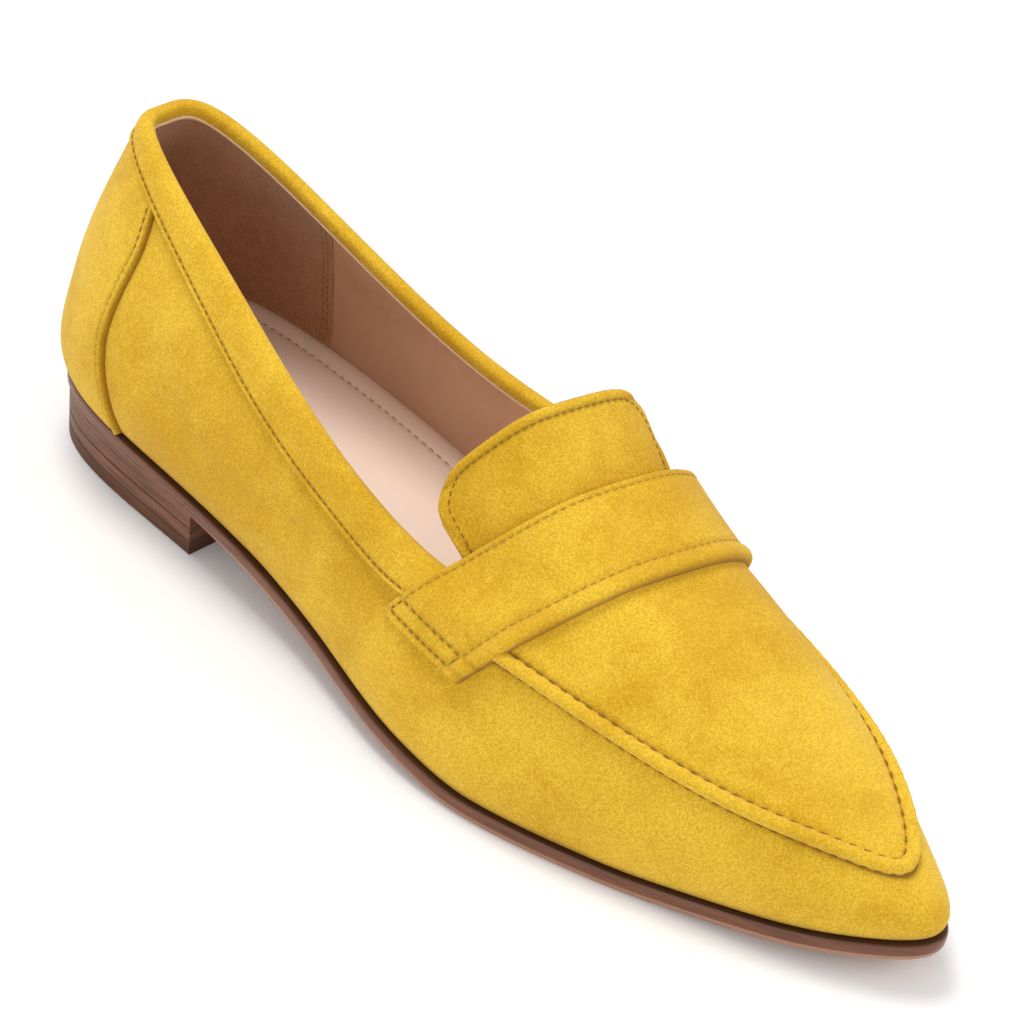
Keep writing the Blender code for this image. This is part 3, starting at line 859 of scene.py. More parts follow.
def suede_finish(name, tint, dark, light, nap):
    """Short nap: soft brushed clouds, a fine speckle, and brown painted shade in seams, grooves and
    under edges.
    """
    look = Finish(
        name, Roughness=0.95, Sheen_Weight=0.12, Sheen_Roughness=0.5, Specular_IOR_Level=0.1
    )
    clouds = look.noise(26 * MM, detail=2, rough=0.45, distortion=0.5)
    brushed = look.noise(7 * MM, detail=3, rough=0.55, distortion=0.5)
    mottle = look.noise(1.2 * MM, detail=3, rough=0.6)
    speckle = look.noise(0.25 * MM, detail=4, rough=0.75)
    tone = clouds * 0.5 + brushed * 0.35 + mottle * 0.15
    colour = look.mix(look.grade(tone, 0.38, 0.62), dark, light)
    colour = look.mix(0.42, colour, tint)
    colour = look.mix(look.grade(speckle, 0.40, 0.56, 0.58, 0.0), colour, dark)
    colour = look.mix(look.grade(speckle, 0.50, 0.64, 0.0, 0.42), colour, light)
    # Painted shade: brown that the seam attribute mixes in where shade falls in seams and grooves
    painted_seam_shade = tuple(channel * share for channel, share in zip(dark, (0.42, 0.30, 0.3)))
    colour = look.mix(look.seam() * 0.85, colour, painted_seam_shade)
    wrinkle = look.noise(0.7 * MM, detail=2, rough=0.5, distortion=1.4)
    height = speckle * 0.55 + wrinkle * 0.45
    return look.done(colour, None, look.relief(height, nap * MM))


def leather_finish(name, colour, roughness, crease, shade):
    """Smooth leather: soft cloudiness, pores and a net of fine wrinkles."""
    look = Finish(name, Specular_IOR_Level=0.4)
    dark = darker(colour, shade)
    clouds = look.noise(18 * MM, detail=3)
    pores = look.noise(0.9 * MM, detail=3, rough=0.6)
    wrinkles = look.noise(3.5 * MM, detail=3, rough=0.55, stretch=(1, 1, 2.2), distortion=1.2)
    tone = look.mix(look.grade(clouds, 0.3, 0.7, 0.0, 0.55), colour, dark)
    # Painted shade in seams, from the seam attribute
    tone = look.mix(look.seam() * 0.8, tone, darker(dark, 0.35))
    shine = look.grade(pores, 0.2, 0.8, roughness - 0.08, roughness + 0.1)
    return look.done(tone, shine, look.relief(wrinkles * 0.6 + pores * 0.4, crease * MM))


def thread_finish(name, colour):
    """Twisted thread: its colour, half as light in the fine spots of a noise."""
    look = Finish(name, Roughness=0.7)
    twist = look.grade(look.noise(0.3 * MM, detail=2), 0.3, 0.7, 0.0, 0.5)
    return look.done(look.mix(twist, colour, darker(colour, 0.5)))


def edge_finish(name, body, light):
    """Burnished sole edge: dark upper part with painted shade along its top, a coppery lower bevel
    and faint streaks along it.
    """
    look = Finish(name, Specular_IOR_Level=0.4)
    height = look.axis(1, uv=True)
    streaks = look.noise(7 * MM, detail=4, rough=0.6, stretch=(1, 1, 14))
    fine = look.noise(1.2 * MM, detail=3, stretch=(1, 1, 5))
    breast = ORIGIN[0] + HEEL_LENGTH
    lower = 1 - look.grade(height, 0.33, 0.41)
    lower = lower * look.grade(look.axis(0), breast, breast + 20 * MM, 0.12, 1.0)
    tone = look.mix(look.grade(streaks, 0.35, 0.7, 0.0, 0.6), body, darker(body, 0.45))
    tone = look.mix(lower * 0.75, tone, light)
    # Painted shade along the top of the edge, where it meets the upper's wall
    tone = look.mix(look.grade(height, 0.9, 1.0, 0.0, 0.8), tone, darker(body, 0.2))
    shine = look.grade(fine, 0.2, 0.8, 0.28, 0.42)
    return look.done(tone, shine, look.relief(streaks * 0.7 + fine * 0.3, 0.12 * MM))


def stack_finish(name, body, light, dull=0.0):
    """Stacked leather: wood-like streaks along the layers, with thin dark lines between them."""
    look = Finish(name, Specular_IOR_Level=0.3)
    streaks = look.noise(9 * MM, detail=5, rough=0.62, stretch=(1, 1, 18), distortion=0.3)
    fine = look.noise(2 * MM, detail=4, stretch=(1, 1, 9))
    height = look.axis(1, uv=True)
    tone = look.mix(look.grade(streaks, 0.32, 0.68), darker(body, 0.42), light)
    tone = look.mix(0.45, tone, body)
    line = (1 - look.grade(height, 0.0, 0.07)) + look.grade(height, 0.94, 1.0)
    tone = look.mix(line * 0.6, tone, darker(body, 0.12))
    shine = look.grade(fine, 0.2, 0.8, 0.4 + dull, 0.56 + dull)
    return look.done(tone, shine, look.relief(streaks * 0.5 + fine * 0.5, 0.15 * MM))


def plain_finish(name, colour, roughness):
    """Nearly even colour, with wide clouds that are hardly darker."""
    look = Finish(name, Roughness=roughness)
    clouds = look.grade(look.noise(0.4, detail=2), 0.3, 0.7)
    return look.done(look.mix(clouds, colour, darker(colour, 0.985)))


def colour_prop(name, default, words):
    """Colour that the panel shows."""
    return bpy.props.FloatVectorProperty(
        name=name, description=words, subtype="COLOR", size=3, min=0.0, max=1.0, default=default
    )


def length_prop(name, default, words):
    """Length that the panel shows, in metres."""
    return bpy.props.FloatProperty(
        name=name, description=words, default=default, min=0.0, unit="LENGTH", precision=5
    )


class LoaferSizes(bpy.types.PropertyGroup):
    """Sizes of seams, stitches, creases and nap"""

    stitch_pitch: length_prop("Stitch pitch", 2.1 * MM, "Distance from one stitch to the next")
    thread_width: length_prop("Thread width", 0.40 * MM, "Width of the sewing thread")
    crease_depth: length_prop("Crease depth", CREASE_DEPTH, "Depth of the upper's soft creases")
    fold_height: length_prop("Fold height", 0.65 * MM, "Height of the strap's rolled lower edge")
    seam_width: length_prop("Apron seam width", 3.3 * MM, "Width of the raised seam at the toes")
    seam_height: length_prop("Apron seam height", 1.9 * MM, "Height of the raised toe seam")
    nap: bpy.props.FloatProperty(
        name="Nap", description="Relief of the suede's nap in millimetres", default=0.42, min=0.0
    )


class LoaferColours(bpy.types.PropertyGroup):
    """Colours of suede, thread, linings, sole and floor"""

    suede: colour_prop("Suede", (0.78, 0.46, 0.022), "Mustard of the suede")
    suede_dark: colour_prop("Dark nap", (0.56, 0.29, 0.008), "Suede brushed against the light")
    suede_light: colour_prop("Light nap", (0.92, 0.62, 0.06), "Suede brushed towards the light")
    # Dark brown thread; its darkness is partly the thread's own colour and partly painted shade of
    # the stitch holes
    thread: colour_prop("Thread", (0.30, 0.15, 0.008), "Sewing thread of the upper")
    thread_light: colour_prop("Sunk thread", (0.52, 0.29, 0.014), "Thread sunk in the nap")
    lining: colour_prop("Lining", (0.64, 0.37, 0.23), "Smooth lining beside the foot")
    lining_heel: colour_prop("Heel lining", (0.47, 0.24, 0.125), "Napped lining round the heel")
    edge_tape: colour_prop("Lining edge", (0.86, 0.66, 0.45), "Cut edge of the lining")
    footbed: colour_prop("Footbed", (0.97, 0.78, 0.64), "Leather of the insole")
    footbed_thread: colour_prop("Footbed thread", (0.66, 0.42, 0.25), "Thread of the insole")
    sole: colour_prop("Sole edge", (0.19, 0.066, 0.030), "Burnished edge of the outsole")
    sole_light: colour_prop("Sole bevel", (0.48, 0.24, 0.14), "Lower bevel of the sole's edge")
    stack: colour_prop("Heel stack", (0.175, 0.064, 0.028), "Stacked leather of the heel")
    stack_light: colour_prop("Heel streaks", (0.275, 0.118, 0.056), "Light streaks of the heel")
    floor: colour_prop("Floor", (0.93, 0.93, 0.93), "Studio floor")


def sizes():
    """Sizes set in the panel."""
    return bpy.context.scene.loafer_sizes


def colours():
    """Colours set in the panel."""
    return bpy.context.scene.loafer_colours


FINISHES = {}


def finish(name):
    """Material of this name, made from the panel's colours when it is first asked for."""
    if name in FINISHES:
        return FINISHES[name]
    group = colours()
    tones = {key: tuple(getattr(group, key)) for key in LoaferColours.__annotations__}
    nap = sizes().nap
    heel = tones["lining_heel"]
    makers = {
        "suede": lambda: suede_finish(
            "mustard suede", tones["suede"], tones["suede_dark"], tones["suede_light"], nap
        ),
        "thread": lambda: thread_finish("sewing thread", tones["thread"]),
        "thread_light": lambda: thread_finish("sunk sewing thread", tones["thread_light"]),
        "lining": lambda: leather_finish("lining leather", tones["lining"], 0.5, 0.25, 0.72),
        "lining_heel": lambda: suede_finish(
            "napped heel lining", heel, darker(heel, 0.7), darker(heel, 1.25), nap
        ),
        "edge_tape": lambda: plain_finish("lining edge", tones["edge_tape"], 0.6),
        "footbed": lambda: leather_finish("footbed leather", tones["footbed"], 0.5, 0.12, 0.9),
        "footbed_thread": lambda: thread_finish("footbed thread", tones["footbed_thread"]),
        "sole": lambda: edge_finish("burnished sole edge", tones["sole"], tones["sole_light"]),
        "stack": lambda: stack_finish("stacked leather", tones["stack"], tones["stack_light"]),
        "top_piece": lambda: stack_finish(
            "top piece", darker(tones["stack"], 0.7), darker(tones["stack_light"], 0.6), 0.15
        ),
        "floor": lambda: plain_finish("studio floor", tones["floor"], 0.9),
    }
    FINISHES[name] = makers[name]()
    return FINISHES[name]


def trough(turn, up, row):
    """Depth at turn and up of one crease: a Gauss valley round a line, faded at its two ends."""
    turn_a, up_a, turn_b, up_b, width, depth = row
    along = np.array([(turn_b - turn_a) * TURN_LENGTH, (up_b - up_a) * INSTEP_HEIGHT])
    x = (turn - turn_a) * TURN_LENGTH
    y = (up - up_a) * INSTEP_HEIGHT
    long = np.linalg.norm(along)
    share = (x * along[0] + y * along[1]) / long**2
    beside = (x * along[1] - y * along[0]) / long
    fade = ease(share, -0.25, 0.15) * ease(1 - share, -0.25, 0.15)
    return depth * MM * bump(beside, 0, width * MM) * fade


def edge_round(edge, radius):
    """0 at the edge, rising as a quarter circle to 1 at this distance from it."""
    return np.sqrt(np.clip(1 - np.clip(1 - edge / radius, 0, 1) ** 2, 0, 1))


def bead_mark(turn):
    """1 along the raised seam's turns, faded under the strap."""
    low, high = BEAD_TURNS
    return ease(turn, low - BEAD_FADE, low) * ease(2 - turn, 2 - high - BEAD_FADE, 2 - high)


def upper_relief(turn, up):
    """Height over the wall and share of painted shade, at turn and up.

    The height is a groove below and above the raised seam, a swelling with gathers over it, as a
    sine along the seam, less the creases.
    """
    run = runs_at(turn, up) - runs_at(turn, np.full_like(up, 0.5))
    half = sizes().seam_width / 2
    below = -half - run
    above = run - half
    waves = np.sin(2 * np.pi * turn * TURN_LENGTH / GATHER_PITCH)
    relief = (
        soft_rows(below, SEAM_BELOW)
        + soft_rows(above, SEAM_ABOVE)
        + waves * soft_rows(above, SEAM_GATHERS)
    )
    creases = sum(trough(turn, up, row) for row in CREASES) * sizes().crease_depth / CREASE_DEPTH
    # Painted shade in the grooves beside the raised seam
    dark = soft_rows(below, SEAM_BELOW_SHADE) + soft_rows(above, SEAM_ABOVE_SHADE)
    here = bead_mark(turn)
    return here * relief * MM - creases, here * dark


def build_upper():
    """Suede of the upper: the wall with its relief, and painted shade where its foot goes down to
    the sole.
    """
    turns, shares = whole_round(*UPPER_GRID)
    ups = shares * up_at(turns[:1], -UPPER_END)
    height, dark = upper_relief(turns, ups)
    # Painted shade along the lowest rows, where the wall meets the sole
    foot = 0.7 * bump(shares * 60, 0, 0.8)
    shell(
        "upper_suede",
        lay(turns, ups, height),
        lay(turns, ups, -UPPER_BACK),
        finish("suede"),
        "suede",
        ("upper",),
        ring=True,
        seam=np.maximum(dark, foot),
    )


def heel_lining_end(up):
    """Turn at which the heel lining ends: it leans a little forward towards the footbed."""
    return HEEL_LINING_TURN - HEEL_LINING_SLANT * (1 - up) ** 2


def build_lining():
    """Fore lining all round, with ripples as a product of sines, and the heel lining lapped on."""
    turns, shares = whole_round(*LINING_GRID)
    ups = shares * up_at(turns[:1], -LINING_END)
    ripple = LINING_RIPPLE * np.sin(60 * turns + 7 * ups) * np.sin(11 * ups + 23 * turns)
    front = lay(turns, ups, -LINING_BACK)
    back = lay(turns, ups, -WALL + 0.1 * MM + ripple * ease(ups, 0.1, 0.5))
    shell("fore_lining", front, back, finish("lining"), "insole_leather", ring=True)
    reach, shares = round_back(*HEEL_LINING_GRID)
    turns = reach * heel_lining_end(shares)
    ups = shares * up_at(turns, -LINING_END)
    front = lay(turns, ups, -WALL + HEEL_LINING_LAP)
    rounded = edge_round(from_ends(row_runs(front)), 0.6 * MM)
    back = lay(turns, ups, -WALL - 0.05 * MM - HEEL_LINING_LAP * rounded)
    shell("heel_lining", front, back, finish("lining_heel"), "insole_leather")
    lines = []
    for side in (-1, 1):
        for inset in HEEL_LINING_ROWS:
            ups = np.linspace(0.12, 0.97, 200)
            turns = side * (heel_lining_end(ups) - inset / TURN_LENGTH)
            path = lay(turns, ups, -WALL - 0.45 * MM)
            lines.append((path, -wall_normal(turns, ups), sizes().stitch_pitch, stitch_size(0.8)))
    stitches("lining_stitches", lines, finish("thread"), "insole_leather")


def stitch_size(share=1.0):
    """Length, width and height of one bead of thread, its width scaled by share."""
    width = sizes().thread_width * share
    return (sizes().stitch_pitch * 0.62, width, width * 0.8)


def build_counter():
    """Back piece laid over the wall, with its front edges rolled into a soft ridge."""
    reach, shares = round_back(*COUNTER_GRID)
    turns = reach * counter_end(shares)
    lowest = 1.5 * OUTSOLE_ROUNDING / INSTEP_HEIGHT
    highest = up_at(turns, -band_depth(turns) + 0.6 * MM)
    ups = lowest + shares * (highest - lowest)
    front = lay(turns, ups, GAP)
    edge = from_ends(row_runs(front))
    full = COUNTER_THICKNESS * edge_round(edge, 1.1 * MM) + MM * soft_rows(edge, COUNTER_RIDGES)
    shell(
        "counter_suede",
        front + wall_normal(turns, ups) * full[..., None],
        lay(turns, ups, HAIR),
        finish("suede"),
        "suede",
        ("heel_counter",),
        # Painted shade under the front edge and in the stitch row
        seam=soft_rows(edge, COUNTER_SHADE),
    )
    ups = np.linspace(0.02, 1, 200)
    lines = []
    for side in (-1, 1):
        end = side * counter_end(ups)
        high = ups * up_at(end, -band_depth(end) - 0.4 * MM)
        turns = end - side * COUNTER_ROW / TURN_LENGTH
        path = lay(turns, high, GAP + COUNTER_THICKNESS - 0.15 * MM)
        lines.append((path, wall_normal(turns, high), sizes().stitch_pitch, stitch_size()))
    stitches("counter_stitches", lines, finish("thread"), "suede")


def back_rise(turns):
    """How far the rim stands up round the back: a soft hill over the turns."""
    return BACK_RISE * bump(turns, 0.02, 0.2)


def band_rows(extra):
    """Part, run and lift of each row of the collar band, from its lower edge over the rim.

    extra is the height over the wall: a flat part, then an arc over the rim that is flatter
    on the inside, then a short way down inside.
    """
    flat = 1 - np.linspace(0, 1, 26) ** 1.6
    over = np.radians(np.linspace(0, 180, 20))[1:-1]
    inside = np.linspace(0, 1, 4)
    radius = WALL / 2 + GAP + extra
    narrow = np.where(np.cos(over) < 0, BAND_INNER, 1.0)
    part = np.concatenate([flat, 0 * over, 0 * inside])
    run = np.concatenate([0 * flat, radius * np.sin(over), -0.9 * MM * inside]) - RIM_DROP
    lift = np.concatenate([
        flat * 0 + GAP + extra,
        radius * narrow * np.cos(over) - WALL / 2,
        0 * inside - radius * BAND_INNER - WALL / 2,
    ])
    return part, run, lift


def band_grid(extra):
    """Turns, ups, runs, parts and lifts of the collar band's face at this height."""
    part, run, lift = band_rows(extra)
    edge = STRAP_REAR + 1.2 * MM
    turns = []
    for share, row_run in zip(part, run):
        lowest = row_run - share * (BAND_WIDTH - RIM_DROP)
        outer_end = turn_at_strap(edge, lowest, *THROAT_SIDE)
        inner_end = turn_at_strap(edge, lowest, *(2 - np.array(THROAT_SIDE)))
        turns.append(np.linspace(inner_end - 2, outer_end, BAND_COLUMNS))
    turns = np.array(turns)
    reach = run[:, None] - part[:, None] * (band_depth(turns) - RIM_DROP)
    rise = back_rise(turns) * (1 - part[:, None]) ** 2
    return turns, up_at(turns, reach + rise), reach, part, lift


def build_collar():
    """Padded binding of the topline, with its lower edge folded under and stitched down.

    Outside, its height over the wall is a rounded edge, soft ridges, a padded middle and faint
    waves; over the rim it follows the arc of band_rows.
    """
    turns, ups, reach, part, lift = band_grid(BAND_THICKNESS)
    depth = band_depth(turns)
    edge = reach + depth
    outside = (part > 0)[:, None]
    padding = 0.3 * bump(edge, depth * 0.62, depth * 0.3) * ease(np.abs(turns), 0.12, 0.3)
    waves = np.sin(2 * np.pi * turns * TURN_LENGTH / BAND_WAVE) * soft_rows(edge, BAND_WAVES)
    relief = MM * (soft_rows(edge, BAND_RIDGES) + padding + waves)
    full = edge_round(edge, 0.5 * MM) * BAND_THICKNESS + relief
    height = np.where(outside, GAP + full, lift[:, None])
    height[0] = -0.1 * MM
    back_turns, back_ups, _, _, back_lift = band_grid(0.0)
    shell(
        "collar_binding",
        lay(turns, ups, height),
        lay(back_turns, back_ups, np.where(outside, -0.12 * MM, back_lift[:, None])),
        finish("suede"),
        "suede",
        ("collar_band",),
        # Painted shade along the lower edge and in the stitch row
        seam=np.where(outside, soft_rows(edge, BAND_SHADE), 0),
    )
    line = turns[0]
    up_line = up_at(line, -band_depth(line) + BAND_ROW)
    path = lay(line, up_line, GAP + BAND_THICKNESS - 0.2 * MM)
    rows = [(path, wall_normal(line, up_line), sizes().stitch_pitch, stitch_size())]
    stitches("collar_stitches", rows, finish("thread"), "suede")
    build_lining_edge(turns[-1, 0], turns[-1, -1])


def build_lining_edge(first, last):
    """Cut edge of the lining: a light strip along the inside of the rim, from turn to turn."""
    line, part = np.meshgrid(np.linspace(first, last, RIM_COLUMNS), np.linspace(0, 1, 8))
    ups = up_at(line, -RIM_DROP - 2.1 * MM + 1.7 * MM * part + back_rise(line))
    inner = (WALL / 2 + GAP + BAND_THICKNESS) * BAND_INNER - WALL / 2
    front = lay(line, ups, -WALL - 0.05 * MM)
    back = lay(line, ups, -WALL - 0.25 * MM - inner * ease(part, -0.2, 0.8) * 1.08)
    shell("lining_edge", front, back, finish("edge_tape"), "insole_leather")


def bead_course():
    """Turns of the raised seam from just under the strap on one side to the other."""
    edge = STRAP_FRONT - 2 * MM
    outer = np.linspace(*SEAM_SIDE, FINE)
    inner = 2 - outer
    outer_end = np.interp(edge, strap_place(wall(outer, 0.5)), outer)
    inner_end = np.interp(edge, strap_place(wall(inner, 0.5)), inner)
    return np.linspace(outer_end, inner_end, 900)


def build_apron_bead():
    """Raised seam: half an ellipse carried along the swell, gathered a little by its stitches."""
    turns = bead_course()
    middle = np.full_like(turns, 0.5)
    centre = wall(turns, middle)
    normal = wall_normal(turns, middle)
    ahead = np.gradient(centre, axis=0)
    beside = np.cross(normal, ahead)
    beside /= length(beside)
    runs = row_runs(centre[None])[0]
    wave = 0.5 + 0.5 * np.cos(2 * np.pi * runs / BEAD_PITCH)
    around = np.linspace(0, np.pi, 13)[:, None]
    half = sizes().seam_width / 2
    wide = half + 0.14 * MM * wave * np.clip(np.cos(around), 0, 1)
    high = GAP + sizes().seam_height * (0.95 + 0.05 * wave)
    across = centre + beside * (np.cos(around) * wide)[..., None]
    top = across + normal * (np.sin(around) * high)[..., None]
    under = across - normal * 0.5 * MM
    # Painted shade on the bead's low sides, where it meets the vamp
    dark = 0.75 * (1 - ease(np.sin(around), 0.0, 0.3)) + 0 * wide
    # The half ellipse turns from its inner side over to its outer side, so its rows run reversed.
    shell(
        "apron_bead",
        top[::-1],
        under[::-1],
        finish("suede"),
        "suede",
        ("apron_seam",),
        seam=dark[::-1],
    )
    size = (BEAD_PITCH * 0.5, sizes().thread_width * 0.9, sizes().thread_width)
    lines = []
    for side in (-1, 1):
        path = centre + beside * side * (half + 0.12 * MM) + normal * 0.4 * MM
        lines.append((path, normal + beside * side * 0.6, BEAD_PITCH, size))
    stitches("apron_stitches", lines, finish("thread"), "suede")


def strap_grid(shares, count):
    """Turns and ups of the strap's lines, from its front edge at share 0 to its rear edge at 1."""
    places = STRAP_FRONT + (STRAP_REAR - STRAP_FRONT) * shares
    grid = np.array([strap_course(place, count) for place in places])
    return grid[:, 0], grid[:, 1]


def strap_rise(turn, rear):
    """How much the strap stands higher over the instep towards its rear edge (rear 1)."""
    return STRAP_RISE * ease(turn, 0.76, 1.08) * (1 - ease(turn, 1.22, 1.45)) * rear


def build_strap():
    """Saddle strap: flat over its middle, a rolled front edge and a stitched box at each end."""
    columns, rows = STRAP_GRID
    shares = np.linspace(0, 1, rows)
    turns, ups = strap_grid(shares, columns)
    base = lay(turns, ups, GAP + strap_rise(turns, shares[:, None] ** 1.3))
    normal = wall_normal(turns, ups)
    front_edge = (shares * STRAP_WIDTH)[:, None]
    rear_edge = STRAP_WIDTH - front_edge
    runs = row_runs(base)
    side = from_ends(runs)
    edge = np.minimum(side, rear_edge)
    nearest = np.minimum(edge, front_edge)
    fold = sizes().fold_height * bump(front_edge, 2.0 * MM, 1.6 * MM) * edge_round(edge, 0.9 * MM)
    seam_lines = np.maximum.reduce(np.broadcast_arrays(
        0.7 * bump(front_edge, STRAP_FRONT_ROW, 0.8 * MM),
        0.6 * bump(rear_edge, STRAP_REAR_ROW, 0.6 * MM),
        bump(side, STRAP_END_ROW, 0.6 * MM),
        bump(side, STRAP_BOX, 0.6 * MM),
    ))
    lift = STRAP_THICKNESS * edge_round(nearest, 0.9 * MM) + fold - STRAP_DENT * seam_lines
    shell(
        "strap_suede",
        base + normal * lift[..., None],
        lay(turns, ups, GAP - 0.28 * MM),
        finish("suede"),
        "suede",
        ("strap",),
        # Painted shade along the strap's edges and in the dents of its stitch rows
        seam=0.85 * bump(nearest, 0, 0.3 * MM) + 0.3 * seam_lines,
    )
    top = base + normal * (STRAP_THICKNESS - 0.12 * MM)

    def line(share_back, share_along, width=1.0):
        """Stitches on the strap's top through these shares of its width and its length."""
        back, along = np.broadcast_arrays(share_back, share_along)
        place = (back * (rows - 1), along * (columns - 1))
        pitch = sizes().stitch_pitch
        return between(top, *place), between(normal, *place), pitch, stitch_size(width)

    long = runs[:, -1].mean()
    end = STRAP_END_ROW / long
    box = STRAP_BOX / long
    long_rows = (STRAP_FRONT_ROW / STRAP_WIDTH, 1 - STRAP_REAR_ROW / STRAP_WIDTH)
    full = np.linspace(end, 1 - end, 400)
    across = np.linspace(*long_rows, 120)
    sunk = [line(row, full) for row in long_rows]
    stitches("strap_row_stitches", sunk, finish("thread_light"), "suede")
    ends = [line(across, column) for column in (end, box, 1 - box, 1 - end)]
    for low, high in ((end, box), (1 - box, 1 - end)):
        ends += [line(row, np.linspace(low, high, 20), 1.1) for row in long_rows]
    stitches("strap_end_stitches", ends, finish("thread"), "suede")


def tongue_rows(share, parts):
    """Grid of the tongue's outer face: rows under the strap, and rows beyond it.

    The rows beyond are the strap's rear edge moved back and up, less a quarter circle at each
    corner. Also the length of each column beyond the strap.
    """
    fine = 641
    course = np.linspace(0, 1, fine)
    under = -WALL - GAP
    rows = []
    for ahead, lift, rear in ((TONGUE_ROOT, under, 0), (TONGUE_STEP, under, 0), (0, -GAP, 0.75)):
        turns, ups = strap_course(STRAP_REAR + ahead, fine)
        row = lay(turns, ups, lift + strap_rise(turns, rear))
        rows.append(np.stack([np.interp(share, course, row[:, axis]) for axis in range(3)], -1))
    edge = rows[-1]
    from_side = from_ends(row_runs(edge[None]))[0]
    short = np.clip(1 - from_side / TONGUE_CORNER, 0, 1)
    top = TONGUE_LENGTH - TONGUE_CORNER * (1 - np.sqrt(1 - short**2))
    back = np.array([-math.cos(TONGUE_ANGLE), 0, math.sin(TONGUE_ANGLE)])
    rise = edge[:, 2] - np.interp(0.5, np.linspace(0, 1, len(edge)), edge[:, 2])
    beyond = edge + parts[:, None, None] * top[:, None] * back
    beyond[..., 2] += TONGUE_ARCH * parts[:, None] * rise
    return np.concatenate([np.array(rows), beyond]), top


def tongue_seam(wide):
    """Distances along and beyond the strap of the tongue's seam: a line, two arcs, their sides."""
    angle = np.linspace(0, np.pi / 2, 40)
    radius = TONGUE_CORNER - TONGUE_SEAM
    straight = np.linspace(0, TONGUE_LENGTH - TONGUE_CORNER, 60)
    side = np.full(60, TONGUE_SEAM)
    corner = TONGUE_CORNER - radius * np.cos(angle)
    rising = TONGUE_LENGTH - TONGUE_CORNER + radius * np.sin(angle)
    head = np.linspace(TONGUE_CORNER, wide - TONGUE_CORNER, 120)
    level = np.full(120, TONGUE_LENGTH - TONGUE_SEAM)
    along = np.concatenate([side, corner, head, wide - corner[::-1], wide - side])
    beyond = np.concatenate([straight, rising, level, rising[::-1], straight[::-1]])
    return along, beyond


def build_tongue():
    """Tab that runs up from under the strap, soft at its edge, lined and stitched round."""
    columns, rows = TONGUE_GRID
    share = np.linspace(TONGUE_OUT, TONGUE_IN, columns)
    parts = np.linspace(0, 1, rows)[1:]
    grid, top = tongue_rows(share, parts)
    normal = grid_normals(grid)
    runs = row_runs(grid)
    side = from_ends(runs)
    left = TONGUE_LENGTH - np.concatenate([np.zeros(3), parts])[:, None] * top
    in_corner = (side < TONGUE_CORNER) & (left < TONGUE_CORNER)
    from_arc = TONGUE_CORNER - np.hypot(TONGUE_CORNER - side, TONGUE_CORNER - left)
    edge = np.where(in_corner, from_arc, np.minimum(side, left))
    thinner = (1 - edge_round(edge, 0.8 * MM)) * TONGUE_THICKNESS * 0.45
    height = MM * soft_rows(edge, TONGUE_RIDGES) - thinner
    front = grid + normal * height[..., None]
    back = grid - normal * (TONGUE_THICKNESS - thinner)[..., None]
    # Painted shade in the groove of the stitch row
    dark = soft_rows(edge, TONGUE_SHADE)
    shell("tongue_suede", front, back, finish("suede"), "suede", ("tongue",), seam=dark)
    inset = 0.12 * MM * ease(edge, 0.4 * MM, 0.9 * MM)[..., None]
    lining_front = back + normal * 0.3 * MM
    lining_back = back - normal * inset
    shell("tongue_lining", lining_front, lining_back, finish("lining"), "suede")
    along, beyond = tongue_seam(runs[2, -1])
    column = np.interp(along, runs[2], np.arange(columns))
    part = beyond / np.interp(along, runs[2], top)
    row = np.clip(part, 0, 1) * len(parts) + 2
    up = between(normal, row, column)
    path = between(grid, row, column) + up * 0.04 * MM
    rows = [(path, up, sizes().stitch_pitch * 0.9, stitch_size(0.9))]
    stitches("tongue_stitches", rows, finish("thread"), "suede")


def inside_at(turns, height, lift):
    """Points of the wall moved in by -lift at these heights, found along each rib."""
    ribs = lay(turns[:, None], np.linspace(0, 0.5, FINE)[None], lift)
    above = (ribs[..., 2] <= height[:, None]).sum(axis=1)
    k = np.clip(above - 1, 0, FINE - 2)
    each = np.arange(len(turns))
    low, high = ribs[each, k], ribs[each, k + 1]
    w = np.clip((height - low[:, 2]) / (high[:, 2] - low[:, 2]), 0, 1)[:, None]
    points = low + w * (high - low)
    points[:, 2] = height
    return points


def footbed_ring(turns, share):
    """Rim of the footbed at this share of its thickness, which falls softly from heel to ball."""
    x = wall(turns, 0 * turns)[:, 0]
    w = ease(INSOLE_THIN - x / LAST_LENGTH, 0, INSOLE_THIN - INSOLE_FULL)
    thick = INSOLE_FORE + (INSOLE_HEEL - INSOLE_FORE) * w
    return inside_at(turns, sole_height(x) + GAP + share * thick, FOOTBED_LIFT)


def footbed_top(turns, shares):
    """Rings of the footbed's face: the rim moved to the middle, dished, with a padded border."""
    rim = footbed_ring(turns, 1.0)
    middle = (rim + rim[-np.arange(len(turns))]) / 2
    rings = []
    for share in shares:
        ring = middle + share * (rim - middle)
        inset = length(rim - ring)[:, 0]
        ring[:, 2] += MM * soft_rows(inset, FOOTBED_RIDGES) - INSOLE_DISH * (1 - share**2)
        rings.append(ring)
    return rings


